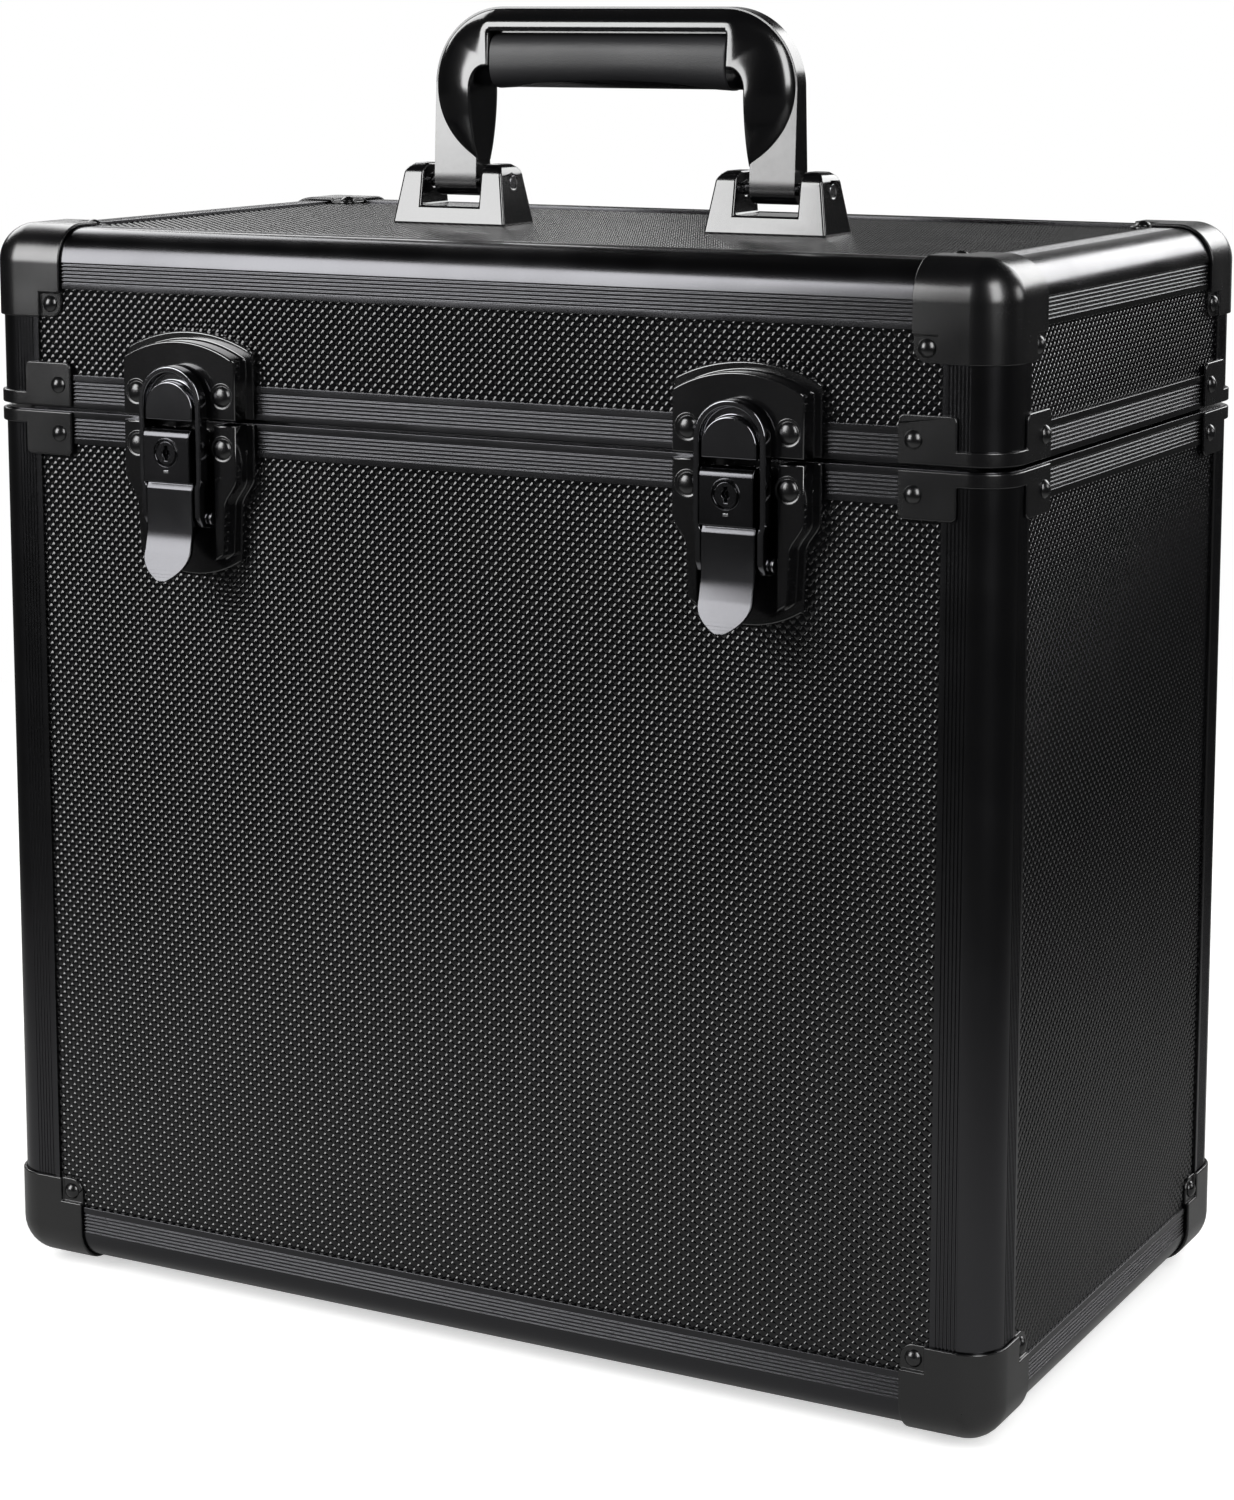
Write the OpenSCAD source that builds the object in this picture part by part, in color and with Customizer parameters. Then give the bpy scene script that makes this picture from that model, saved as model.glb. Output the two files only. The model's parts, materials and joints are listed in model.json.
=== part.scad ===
// Record carrying case: aluminium frame, embossed panels, hinged lid,
// two key-locked draw latches and a folding carrying handle.
// Millimetres, +Z up. The front, with the latches, faces -Y.

/* [Case] */
// Width of the closed shell over its frame
case_w = 360; // [348:1:400]
// Depth of the closed shell over its frame
case_d = 206; // [170:1:260]
// Height of the closed shell, without feet and handle
case_h = 352; // [346:1:400]
// Height of the lid's part of the shell
lid_h = 59; // [54:1:80]
// Gap between the rims of the lid and the body
seam_gap = 1.2; // [0.8:0.1:2]

/* [Panels] */
// Thickness of a panel board with its embossed skin
panel_t = 5; // [4:0.25:5.5]
// Thickness of the foam lining
lining_t = 2; // [1.5:0.25:3]

/* [Frame profiles] */
// Wall of the outer skin of every profile
skin_t = 1.2; // [1:0.1:1.4]
// Width of a profile's flange, from the outer face of the case
flange_w = 19.6; // [18:0.1:21]
// Radius of the rounded edge of a profile
edge_r = 11.5; // [10.5:0.1:12]
// Wall of a profile's inner leg and web
web_t = 1.1; // [0.8:0.1:1.2]
// Number of fine ribs on a flange
rib_count = 5; // [3:1:5]
// Spacing of the fine ribs
rib_pitch = 1.2; // [1:0.05:1.3]
// Depth of the grooves between the ribs
rib_depth = 0.4; // [0.2:0.05:0.5]
// Width of one groove between two ribs
groove_w = 0.65; // [0.5:0.05:0.7]
// Height of a rim's flange on each side of the seam
rim_h = 10.8; // [10.5:0.1:11.2]
// Height of the sealing tongue above the seam's middle
tongue_h = 3; // [2:0.25:4]
// Wall of the sealing tongue
tongue_t = 1.2; // [1:0.1:1.4]

/* [Corner caps] */
// Wall of the caps and of the rim clips
cap_t = 1.2; // [1:0.1:1.5]
// Length of a cap's legs from the corner
cap_len = 29; // [28:0.25:32]
// Distance of a cap's rivets from the corner
cap_rivet = 24.6; // [24:0.1:25]
// Corner radius of a cap's riveted tab
tab_r = 4.5; // [3:0.25:5]

/* [Rim clips] */
// Distance from the corner at which a clip's leg starts
clip_in = 14.5; // [13.5:0.25:16]
// Distance from the corner at which a clip's leg ends
clip_out = 32.8; // [32.2:0.1:36]
// Height of a clip's leg
clip_h = 14.4; // [13:0.2:16]
// Height of the band that joins a clip's legs round the corner
clip_band = 4.3; // [3:0.1:5]
// Distance of a clip's rivets from the corner
clip_rivet = 28; // [26.5:0.25:29]
// Height of a clip's rivets above or below the seam
clip_rivet_z = 8; // [7:0.25:9]

/* [Rivets] */
// Diameter of a rivet's domed head
rivet_head_d = 5.8; // [5:0.1:6.4]
// Height of a rivet's domed head
rivet_head_h = 1.7; // [1.2:0.1:2.2]
// Diameter of a rivet's shank
rivet_d = 3.2; // [2.4:0.1:3.6]

/* [Feet] */
// Height of the shell above the surface that the feet stand on
foot_h = 4.2; // [3.4:0.1:8]
// Diameter of a rubber foot where it meets the case
foot_d = 15; // [13:0.5:16]
// Draft of a foot's side, on the diameter
foot_draft = 2; // [0:0.25:3]
// Diameter of a foot's screw head
foot_screw_head_d = 6; // [5:0.2:7]

/* [Latch plates] */
// Distance of each latch from the middle of the case
latch_x = 99.2; // [70:0.2:104]
// Height by which the plates stand proud of the frame
plate_h = 8; // [7.5:0.1:8.3]
// Thickness of the plates' base sheet
plate_t = 1.5; // [1.2:0.1:1.8]
// Width of the plates' raised face
plate_w = 43; // [41:0.5:46]
// Width of the small base flange round a plate
plate_flange = 2.6; // [1:0.1:3]
// Half width of the channel for the lever
trough_x = 13; // [12.6:0.1:13.2]
// Height of the lid plate at its sides
catch_h = 19.5; // [18:0.25:22]
// Rise of the lid plate's crown in the middle
catch_crown = 5.9; // [3:0.1:8]
// Length of the body plate at its sides
keep_h = 42.5; // [40:0.5:46]
// Rise of the body plate's rounded end in the middle
keep_crown = 5.5; // [3:0.25:7]
// Width of the body plate's narrow lower part
keep_w = 32; // [30:0.5:34]
// Sideways distance of the plates' rivets from the latch's middle
plate_rivet_x = 16.4; // [16:0.1:17]
// Height of the plates' rivets above or below the seam
plate_rivet_z = 8.4; // [8:0.1:9]

/* [Latch lever] */
// Width of the lever
lever_w = 17.6; // [17:0.1:17.8]
// Wall of the lever's side flanges
lever_t = 1.4; // [1.2:0.1:1.5]
// Height of the lever's lock face above the frame
lever_face = 15.5; // [15.2:0.1:16.5]
// Height of the lever's pivot above the frame
pivot_p = 10; // [9.8:0.05:10.2]
// Distance of the lever's pivot below the seam
pivot_z = 5.2; // [5:0.1:5.6]
// Length of the lever's lock face below the seam
lock_face_len = 19.1; // [18:0.1:20]
// Length of the lever's flat lower face below the seam
lever_flat_len = 35; // [34.5:0.25:37]
// Length of the whole lever below the seam
lever_len = 51.2; // [50.5:0.2:54]
// Height of the tongue's tip above the frame
tip_p = 19.8; // [19:0.1:22]
// Diameter of the pivot pin
pivot_d = 2.2; // [2:0.1:2.4]
// Distance of the lock below the seam
lock_z = 9.7; // [9.5:0.1:10]
// Diameter of the lock plug
plug_d = 7.6; // [7:0.1:8]

/* [Latch bail] */
// Outer width of the bail's arch
bail_w = 23.6; // [23.4:0.1:24]
// Wall of the bail's strap
bail_t = 2; // [1.8:0.1:2.1]
// Height of the bail's arch above the seam
bail_top = 17.8; // [16.5:0.2:18.5]
// Height of the bail's front edge above the frame
bail_front = 13.6; // [13:0.1:14]
// Height of the bail's pin above the frame
bail_pin_p = 7; // [6.8:0.1:7.4]
// Distance of the bail's pin below the seam
bail_pin_z = 31; // [30:0.25:32]
// Diameter of the bail's pin
bail_pin_d = 2.8; // [2.4:0.1:3]
// Diameter of the bail pin's heads
bail_pin_head_d = 4.2; // [3.8:0.1:4.6]
// Width of the domed pad inside the arch
pad_w = 18; // [17:0.2:18.4]
// Height of the pad's top above the seam
pad_top = 13; // [12:0.2:13.4]

/* [Hinges] */
// Distance of each hinge from the middle of the case
hinge_x = 99; // [60:1:110]
// Width of a hinge
hinge_w = 40; // [36:1:60]
// Length of a hinge leaf above or below the seam
leaf_len = 19; // [17:0.5:22]
// Thickness of a hinge leaf
leaf_t = 1.5; // [1.2:0.1:1.6]
// Distance of the hinge axis behind the frame
hinge_p = 3.7; // [3.6:0.05:3.9]
// Diameter of the hinge knuckles
knuckle_d = 6.2; // [6:0.1:6.4]
// Diameter of the hinge pin
hinge_pin_d = 3; // [2.4:0.1:3.2]
// Width of the lid's knuckle in the middle of a hinge
lid_knuckle_w = 16; // [12:0.5:18]
// Length of the stop heel behind the hinge axis
heel_len = 6; // [4.5:0.25:7]

/* [Handle] */
// Distance of each handle bracket from the middle of the case
bracket_x = 59; // [57.5:0.1:61]
// Width of a bracket at its foot
bracket_w = 43.6; // [42:0.2:48]
// Depth of a bracket at its foot
bracket_d = 21; // [20:0.2:24]
// Height of a bracket
bracket_h = 20.5; // [19.5:0.1:22]
// Inward slope of a bracket's four sides over its height
bracket_draft = 2.7; // [1:0.1:3]
// Width of a bracket's slot
slot_w = 22.4; // [20:0.2:24]
// Height of the slot's floor above the lid panel
slot_floor = 6.3; // [5.5:0.1:7]
// Height of the handle pins above the lid panel
handle_pin_z = 14.6; // [14:0.1:15]
// Diameter of the handle pins
handle_pin_d = 4; // [3.4:0.1:4.4]
// Width of a handle leg
leg_w = 16.6; // [15:0.2:18]
// Thickness of a handle leg at its pin
leg_t = 10; // [9:0.2:11]
// Thickness of the handle's grip bar
bar_t = 19; // [16:0.5:22]
// Height of the handle's top above the lid panel
handle_top = 72.8; // [68:0.2:84]
// Height of the grip bar
bar_h = 25.7; // [22:0.1:28]
// Outer radius of the handle's corners
handle_r = 26; // [18:0.5:30]
// Length of the soft grip
grip_len = 88; // [76:1:90]
// Height of the glossy spine above the soft grip
spine_h = 8; // [6:0.25:9]

/* [Clearances] */
// Gap between pieces that only meet
fit = 0.1; // [0.05:0.05:0.15]
// Radial running clearance of a pin in its hole
run = 0.05; // [0.02:0.01:0.08]
// Free gap between pieces that move past each other
free = 0.4; // [0.35:0.05:0.5]

/* [Hidden] */
$fn = 64;
eps = 0.02;
seam_z = case_h - lid_h;
half_gap = seam_gap/2;
panel_edge = edge_r;
profile_stop = flange_w + fit;
front_reach = tip_p;
rear_reach = hinge_p + heel_len;
y_shift = (front_reach - rear_reach)/2;
leg_depth = skin_t + panel_t + fit;     // depth of a profile's inner leg
leg_end = flange_w - 2;              // width of that leg
lining_in = leg_depth + web_t + fit;
cavity_in = lining_in + lining_t;
tongue_in = leg_depth + web_t + 0.6;    // depth of the sealing tongue
edge_play = 0.3;                     // set-back of hardware from a rim's edge
hinge_rivet_x = hinge_w*0.32;
hinge_rivet_z = leaf_len*0.45;
knuckle_gap = 0.2;
foot_boss_d = 2*(cap_rivet - profile_stop - cap_t - fit);
screw_shank_d = 3;
screw_head_d = 6;
screw_head_h = 1.1;
pocket_r = 4.3;                      // recess round a latch plate's rivet
ear_r = 1.7;                         // eye of the lever's pivot ears
rivet_reach = leg_depth + web_t - fit;  // depth to which the rivets reach
top_face = case_h - skin_t;

// ---------- places ----------

// Sides are counted 0 front, 1 right, 2 rear, 3 left.
function side_half(k) = (k % 2 == 0 ? case_d : case_w)/2;
function side_w(k) = k % 2 == 0 ? case_w : case_d;

// Puts children drawn for the front face on side k: the outer face of
// the frame is at y = 0, outwards is -y, and z = 0 is the shell's bottom.
module on_side(k)
    translate([0, y_shift, foot_h]) rotate([0, 0, 90*k]) translate([0, -side_half(k), 0]) children();

// Puts children drawn in the corner x, y > 0 of the shell's outer box on
// corner k: 0 front left, 1 front right, 2 rear right, 3 rear left.
module on_corner(k)
    translate([(k == 1 || k == 2 ? 1 : -1)*case_w/2, (k > 1 ? 1 : -1)*case_d/2 + y_shift, foot_h])
        rotate([0, 0, 90*k]) children();

// Children drawn upwards from the shell's bottom, hung from its top.
module from_top() translate([0, 0, case_h]) mirror([0, 0, 1]) children();

// Children drawn in latch coordinates: x sideways, y = -height above the
// frame, z from the seam, at the latch on side s (-1 left, 1 right).
module on_latch(s) on_side(0) translate([s*latch_x, 0, seam_z]) children();

// The seam at the middle of hinge s on the rear side.
module on_hinge(s) on_side(2) translate([-s*hinge_x, 0, seam_z]) children();

// The lid panel's upper face at handle bracket s.
module on_bracket(s) translate([s*bracket_x, y_shift, foot_h + top_face]) children();

// Extrudes a child drawn in (height above frame, z) along x, centred.
module along_x(w) rotate([90, 0, -90]) translate([0, 0, -w/2]) linear_extrude(w) children();

// Extrudes a child drawn in (x, z) outwards, from height p0 to p1.
module outwards(p0, p1) translate([0, -p0, 0]) rotate([90, 0, 0]) linear_extrude(p1 - p0) children();

// A bar with a round section along x, at height p and level z.
module cross_bar(p, z, d, w) translate([-w/2, -p, z]) rotate([0, 90, 0]) cylinder(h = w, d = d);

// ---------- rivets ----------

// A rivet that points outwards along -y: its head sits at height p and
// its shank ends at the depth of the panel's inner face.
module rivet(p) {
    dome_r = (pow(rivet_head_d/2, 2) + pow(rivet_head_h, 2))/(2*rivet_head_h);
    translate([0, -p, 0]) rotate([90, 0, 0]) {
        intersection() {
            translate([0, 0, rivet_head_h - dome_r]) sphere(dome_r);
            translate([0, 0, dome_r]) cube(2*dome_r, center = true);
        }
        translate([0, 0, -p - rivet_reach]) cylinder(h = p + rivet_reach + eps, d = rivet_d);
    }
}
module rivet_hole()
    translate([0, cavity_in, 0]) rotate([90, 0, 0]) cylinder(h = cavity_in + plate_h, d = rivet_d + 2*run);

// Rivet places on side k, as [x, z, kind]; kind 0 is a cap's tab, 1 a
// rim clip, 2 a latch plate and 3 a hinge leaf.
function cap_sites(k, z) = [for (s = [-1, 1]) [s*(side_w(k)/2 - cap_rivet), z, 0]];
function clip_sites(k, z) = [for (s = [-1, 1]) [s*(side_w(k)/2 - clip_rivet), z, 1]];
function latch_sites(z) = [for (s = [-1, 1], t = [-1, 1]) [s*latch_x + t*plate_rivet_x, z, 2]];
function hinge_sites(z) = [for (s = [-1, 1], t = [-1, 1]) [s*hinge_x + t*hinge_rivet_x, z, 3]];
function body_sites(k) = concat(
    cap_sites(k, cap_rivet), clip_sites(k, seam_z - clip_rivet_z),
    k == 0 ? latch_sites(seam_z - plate_rivet_z) : [], k == 2 ? hinge_sites(seam_z - hinge_rivet_z) : []);
function lid_sites(k) = concat(
    cap_sites(k, case_h - cap_rivet), clip_sites(k, seam_z + clip_rivet_z),
    k == 0 ? latch_sites(seam_z + plate_rivet_z) : [], k == 2 ? hinge_sites(seam_z + hinge_rivet_z) : []);
seat = [0, cap_t, plate_t, leaf_t];

module rivets_at(sites) for (s = sites) translate([s[0], 0, s[1]]) rivet(seat[s[2]]);
module rivet_holes_at(sites) for (s = sites) translate([s[0], 0, s[1]]) rivet_hole();

// ---------- frame profiles ----------

// The grooves stop short of the lip by the width of one and a half ribs.
module groove_row() for (i = [0:rib_count])
    translate([flange_w - 1.6*rib_pitch - i*rib_pitch - groove_w, -1]) square([groove_w, 1 + rib_depth]);

// Corner profile in the corner x, y > 0: a rounded hollow edge with two
// ribbed flanges and an inner leg, which hold the panels between them.
module corner_section() {
    difference() {
        union() {
            intersection() {
                difference() {
                    translate([edge_r, edge_r]) circle(edge_r);
                    translate([edge_r, edge_r]) circle(edge_r - skin_t);
                }
                square(edge_r);
            }
            translate([edge_r, 0]) square([flange_w - edge_r, skin_t]);
            translate([0, edge_r]) square([skin_t, flange_w - edge_r]);
            translate([leg_depth, leg_depth]) square([leg_end - leg_depth, web_t]);
            translate([leg_depth, leg_depth]) square([web_t, leg_end - leg_depth]);
            intersection() {
                union() {
                    translate([panel_edge - fit - web_t, 0]) square([web_t, leg_depth + web_t]);
                    translate([0, panel_edge - fit - web_t]) square([leg_depth + web_t, web_t]);
                }
                union() {
                    translate([edge_r, edge_r]) circle(edge_r - skin_t/2);
                    translate([leg_depth - 1, leg_depth - 1]) square(web_t + 1);
                }
            }
        }
        groove_row();
        mirror([1, -1]) groove_row();
    }
}

module post(z0, z1) color("#1b1b1c") translate([0, 0, z0]) linear_extrude(z1 - z0) corner_section();

// A horizontal edge profile at the shell's bottom on side k.
module edge_bar(k) {
    len = side_w(k) - 2*profile_stop;
    color("#1b1b1c") translate([-len/2, 0, 0]) rotate([90, 0, 90]) linear_extrude(len) corner_section();
}

// Rim section in (depth, height above the seam's middle): an outer ribbed
// flange, a web over the panel's edge and an inner flange.
module rim_section(web_in) {
    rib_start = (rim_h - (rib_count - 1)*rib_pitch - groove_w)/2;
    difference() {
        translate([0, half_gap]) square([skin_t, rim_h]);
        for (i = [0:rib_count])
            translate([-1, half_gap + rib_start + (i - 0.5)*rib_pitch]) square([1 + rib_depth, groove_w]);
    }
    translate([0, half_gap]) square([web_in, skin_t]);
    translate([leg_depth, half_gap]) square([web_t, rim_h - 2]);
}

// One of the four rim bars: the flanges stop at the posts and the web
// runs on to a mitre in the corner. Drawn above the seam for side k.
module rim_bar(k, web_in) {
    w = side_w(k);
    bar = w - 2*profile_stop;
    translate([-bar/2, 0, 0]) rotate([90, 0, 90]) linear_extrude(bar) rim_section(web_in);
    intersection() {
        translate([0, 0, half_gap]) linear_extrude(skin_t) difference() {
            rim_plate(k, 0);
            rim_plate(k, web_in);
        }
        mitre_wedge(k);
    }
}

// The shell's rounded outline in the side's own frame, drawn in by d.
module rim_plate(k, d) {
    w = side_w(k);
    dd = 2*side_half(k);
    r = max(edge_r - d, 0.5);
    translate([0, dd/2]) difference() {
        square([w - 2*d, dd - 2*d], center = true);
        for (a = [0:3]) rotate(90*a) {
            hw = (a % 2 == 0 ? w : dd)/2 - d;
            hd = (a % 2 == 0 ? dd : w)/2 - d;
            translate([hw - r, hd - r]) difference() {
                square(r + 1);
                circle(r);
            }
        }
    }
}

module mitre_wedge(k) {
    w = side_w(k)/2 - fit/2;
    reach = cavity_in*2;
    translate([0, 0, -tongue_h*3]) linear_extrude(tongue_h*6 + rim_h)
        polygon([[-w - fit, -fit], [w + fit, -fit], [w - reach, reach], [-w + reach, reach]]);
}

// The body's sealing tongue on side k, inside the lid's rim.
module tongue_bar(k) {
    intersection() {
        translate([0, 0, -half_gap - skin_t]) linear_extrude(half_gap + skin_t + tongue_h) difference() {
            rim_plate(k, tongue_in);
            rim_plate(k, tongue_in + tongue_t);
        }
        mitre_wedge(k);
    }
}

// ---------- panels ----------

module panel(k, z0, z1) color("#141414") {
    w = side_w(k) - 2*panel_edge;
    translate([-w/2, skin_t, z0]) cube([w, panel_t, z1 - z0]);
}
module flat_panel() color("#141414")
    translate([-case_w/2 + panel_edge, -case_d/2 + panel_edge, skin_t])
        cube([case_w - 2*panel_edge, case_d - 2*panel_edge, panel_t]);

module body_panel(k) on_side(k) difference() {
    panel(k, panel_edge, seam_z - half_gap - skin_t - fit);
    rivet_holes_at(body_sites(k));
}
module lid_panel(k) on_side(k) difference() {
    panel(k, seam_z + half_gap + skin_t + fit, case_h - panel_edge);
    rivet_holes_at(lid_sites(k));
}

// Places of the rivets on the shell's flat top and bottom.
module at_flat_sites() for (sx = [-1, 1], sy = [-1, 1])
    translate([sx*(case_w/2 - cap_rivet), sy*(case_d/2 - cap_rivet), 0]) children();
module flat_hole(d) translate([0, 0, -1]) cylinder(h = cavity_in + 1, d = d + 2*run);

module bottom_panel() translate([0, y_shift, foot_h]) difference() {
    flat_panel();
    at_flat_sites() flat_hole(screw_shank_d);
}

// Holes for the screws that hold the handle brackets.
module at_bracket_screws() for (t = [-1, 1])
    translate([t*(slot_w/2 + bracket_w/2 - bracket_draft)/2, 0, 0]) children();
bracket_screw_len = 8;

module lid_top_panel() difference() {
    translate([0, y_shift, foot_h]) difference() {
        from_top() flat_panel();
        from_top() at_flat_sites() flat_hole(rivet_d);
    }
    for (s = [-1, 1]) on_bracket(s) at_bracket_screws()
        translate([0, 0, -panel_t - 1]) cylinder(h = panel_t + 2, d = screw_shank_d + 2*run);
}

// ---------- caps and clips ----------

module quarter_ring() intersection() {
    difference() {
        circle(edge_r + cap_t);
        circle(edge_r);
    }
    translate([-edge_r - cap_t, -edge_r - cap_t]) square(edge_r + cap_t);
}

// The flat of a cap on one face, drawn in the corner x, y > 0 with z
// outwards: two legs over the flanges and a lower riveted tab between.
module cap_face() {
    tab_in = profile_stop;
    linear_extrude(cap_t) difference() {
        translate([edge_r, edge_r]) square(cap_len - edge_r);
        translate([tab_in + cap_t, tab_in + cap_t]) square(cap_len);
    }
    translate([0, 0, -skin_t]) linear_extrude(skin_t) difference() {
        translate([tab_in, tab_in]) square(cap_len - tab_in);
        translate([cap_len - tab_r, cap_len - tab_r]) difference() {
            square(tab_r + 1);
            circle(tab_r);
        }
    }
}

module cap() color("#101010") difference() {
    union() {
        translate([edge_r, edge_r, edge_r]) intersection() {
            difference() {
                sphere(edge_r + cap_t);
                sphere(edge_r);
            }
            translate([-2*edge_r, -2*edge_r, -2*edge_r]) cube(2*edge_r);
        }
        cap_sides();
    }
    cap_holes();
}
module cap_sides() {
    e = edge_r;
    // Rounded edges along z, x and y.
    translate([e, e, e]) linear_extrude(cap_len - e) quarter_ring();
    translate([e, e, e]) rotate([90, 0, 90]) linear_extrude(cap_len - e) quarter_ring();
    translate([e, e, e]) rotate([0, -90, -90]) linear_extrude(cap_len - e) quarter_ring();
    // Faces across z, x and y.
    mirror([0, 0, 1]) cap_face();
    rotate([90, 0, 90]) mirror([0, 0, 1]) cap_face();
    rotate([0, -90, -90]) mirror([0, 0, 1]) cap_face();
}
module cap_holes() {
    d = rivet_d + 2*run;
    c = cap_rivet;
    translate([c, c, -1]) cylinder(h = 4, d = d);
    translate([-1, c, c]) rotate([0, 90, 0]) cylinder(h = 4, d = d);
    translate([c, -1, c]) rotate([-90, 0, 0]) cylinder(h = 4, d = d);
}

// One leg of a rim clip in (distance from the corner, height).
module clip_leg() {
    r = 2;
    difference() {
        union() {
            translate([clip_in, 0]) square([clip_out - clip_in, clip_h]);
            translate([edge_r, 0]) square([clip_out - edge_r, clip_band]);
        }
        for (c = [[clip_out - r, clip_h - r, 1], [clip_in + r, clip_h - r, -1]])
            translate([c[0], c[1]]) difference() {
                translate([c[2] > 0 ? 0 : -r - 1, 0]) square(r + 1);
                circle(r);
            }
    }
}
module clip() color("#101010") translate([0, 0, half_gap + edge_play]) {
    translate([edge_r, edge_r, 0]) linear_extrude(clip_band) quarter_ring();
    clip_leg_solid();
    mirror([1, -1, 0]) clip_leg_solid();
}
module clip_leg_solid() difference() {
    rotate([90, 0, 0]) linear_extrude(cap_t) clip_leg();
    translate([clip_rivet, 1, clip_rivet_z - half_gap - edge_play]) rotate([90, 0, 0])
        cylinder(h = 4, d = rivet_d + 2*run);
}

// ---------- body: frame, feet, lining ----------

module body_post(k) on_corner(k) post(profile_stop, seam_z - half_gap - skin_t - fit);
module bottom_edge(k) on_side(k) edge_bar(k);

module body_rim() color("#1b1b1c") for (k = [0:3]) on_side(k) difference() {
    translate([0, 0, seam_z]) union() {
        mirror([0, 0, 1]) rim_bar(k, tongue_in + tongue_t);
        tongue_bar(k);
    }
    rivet_holes_at(body_sites(k));
}

module bottom_caps() for (k = [0:3]) on_corner(k) cap();
module body_clips() for (k = [0:3]) on_corner(k) translate([0, 0, seam_z]) mirror([0, 0, 1]) clip();

module body_rivets() color("#1d1d1d") for (k = [0:3]) on_side(k) rivets_at(body_sites(k));

foot_recess = 1.6;
module at_feet() translate([0, y_shift, foot_h]) at_flat_sites() children();
module feet() color("#0c0c0c") at_feet() difference() {
    pad_t = foot_h - cap_t - fit;
    union() {
        // A pad under the cap's legs and a boss up to the tab between them.
        translate([0, 0, -foot_h]) cylinder(h = pad_t, d1 = foot_d - foot_draft, d2 = foot_d);
        translate([0, 0, -foot_h + pad_t - eps]) cylinder(h = foot_h - pad_t - fit + eps, d = foot_boss_d);
    }
    translate([0, 0, -foot_h - 1]) cylinder(h = 1 + foot_recess, d = foot_screw_head_d + 2*free);
    translate([0, 0, -foot_h]) cylinder(h = foot_h + 1, d = screw_shank_d + 2*run);
}
module foot_screws() color("#8a8a8c") at_feet() translate([0, 0, -foot_h + foot_recess]) {
    translate([0, 0, -screw_head_h]) cylinder(h = screw_head_h - fit/2, d = foot_screw_head_d);
    translate([0, 0, -screw_head_h/2]) cylinder(h = screw_head_h/2 + foot_h - foot_recess + skin_t + panel_t, d = screw_shank_d);
}

// A five-sided foam tray, open upwards, in shell coordinates.
module tray(h) {
    w = case_w - 2*lining_in;
    d = case_d - 2*lining_in;
    difference() {
        translate([-w/2, -d/2, lining_in]) cube([w, d, h - lining_in]);
        translate([-w/2 + lining_t, -d/2 + lining_t, cavity_in]) cube([w - 2*lining_t, d - 2*lining_t, h]);
    }
}
module body_lining() color("#2a2a2c") translate([0, y_shift, foot_h]) tray(seam_z - half_gap - skin_t - fit);

// ---------- latch: fixed plates ----------

function mirrored(pts) = concat(pts, [for (i = [len(pts) - 1:-1:0]) [-pts[i][0], pts[i][1]]]);

// Crown line across a plate: a circular arc of half width hw and rise c.
function crown(hw, z0, c, n = 12) = let(r = (hw*hw + c*c)/(2*c), a = asin(hw/r))
    [for (i = [0:n]) [r*sin(a*(1 - i/n)), z0 + c - r*(1 - cos(a*(1 - i/n)))]];

// Outline of the lid plate above the seam, grown by g.
module catch_outline(g) {
    hw = plate_w/2 + g;
    polygon(mirrored(concat([[hw, half_gap + edge_play]], crown(hw, catch_h + g, catch_crown))));
}
// Outline of the body plate below the seam, grown by g, drawn upwards.
module keep_outline(g) {
    hw = plate_w/2 + g;
    lw = keep_w/2 + g;
    neck = keep_h*0.42;
    sweep = [for (i = [0:6]) let(t = i/6) [hw + (lw + 0.8 - hw)*(3*t*t - 2*t*t*t), neck + 9.5*t]];
    polygon(mirrored(concat([[hw, half_gap + edge_play]], sweep, crown(lw, keep_h + g, keep_crown))));
}
module rivet_pockets() for (t = [-1, 1])
    translate([t*plate_rivet_x, -plate_h - 1, plate_rivet_z]) rotate([-90, 0, 0])
        cylinder(h = plate_h + 1 - plate_t, r = pocket_r);
module plate_holes() for (t = [-1, 1])
    translate([t*plate_rivet_x, 2, plate_rivet_z]) rotate([90, 0, 0])
        cylinder(h = plate_h + 4, d = rivet_d + 2*run);

ridge_h = 1;
module catch_plate(s) color("#0f0f0f") on_latch(s) {
    difference() {
        union() {
            outwards(0, plate_t) catch_outline(plate_flange);
            outwards(0, plate_h) catch_outline(0);
            outwards(-skin_t, 0) intersection() {
                catch_outline(plate_flange);
                translate([-plate_w, half_gap + rim_h + fit]) square([2*plate_w, catch_h*2]);
            }
        }
        rivet_pockets();
        plate_holes();
    }
    // The catch ridge that the bail's pad draws down on.
    outwards(plate_h - eps, plate_h + ridge_h) translate([-6, 6]) square([12, 3]);
}

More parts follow.
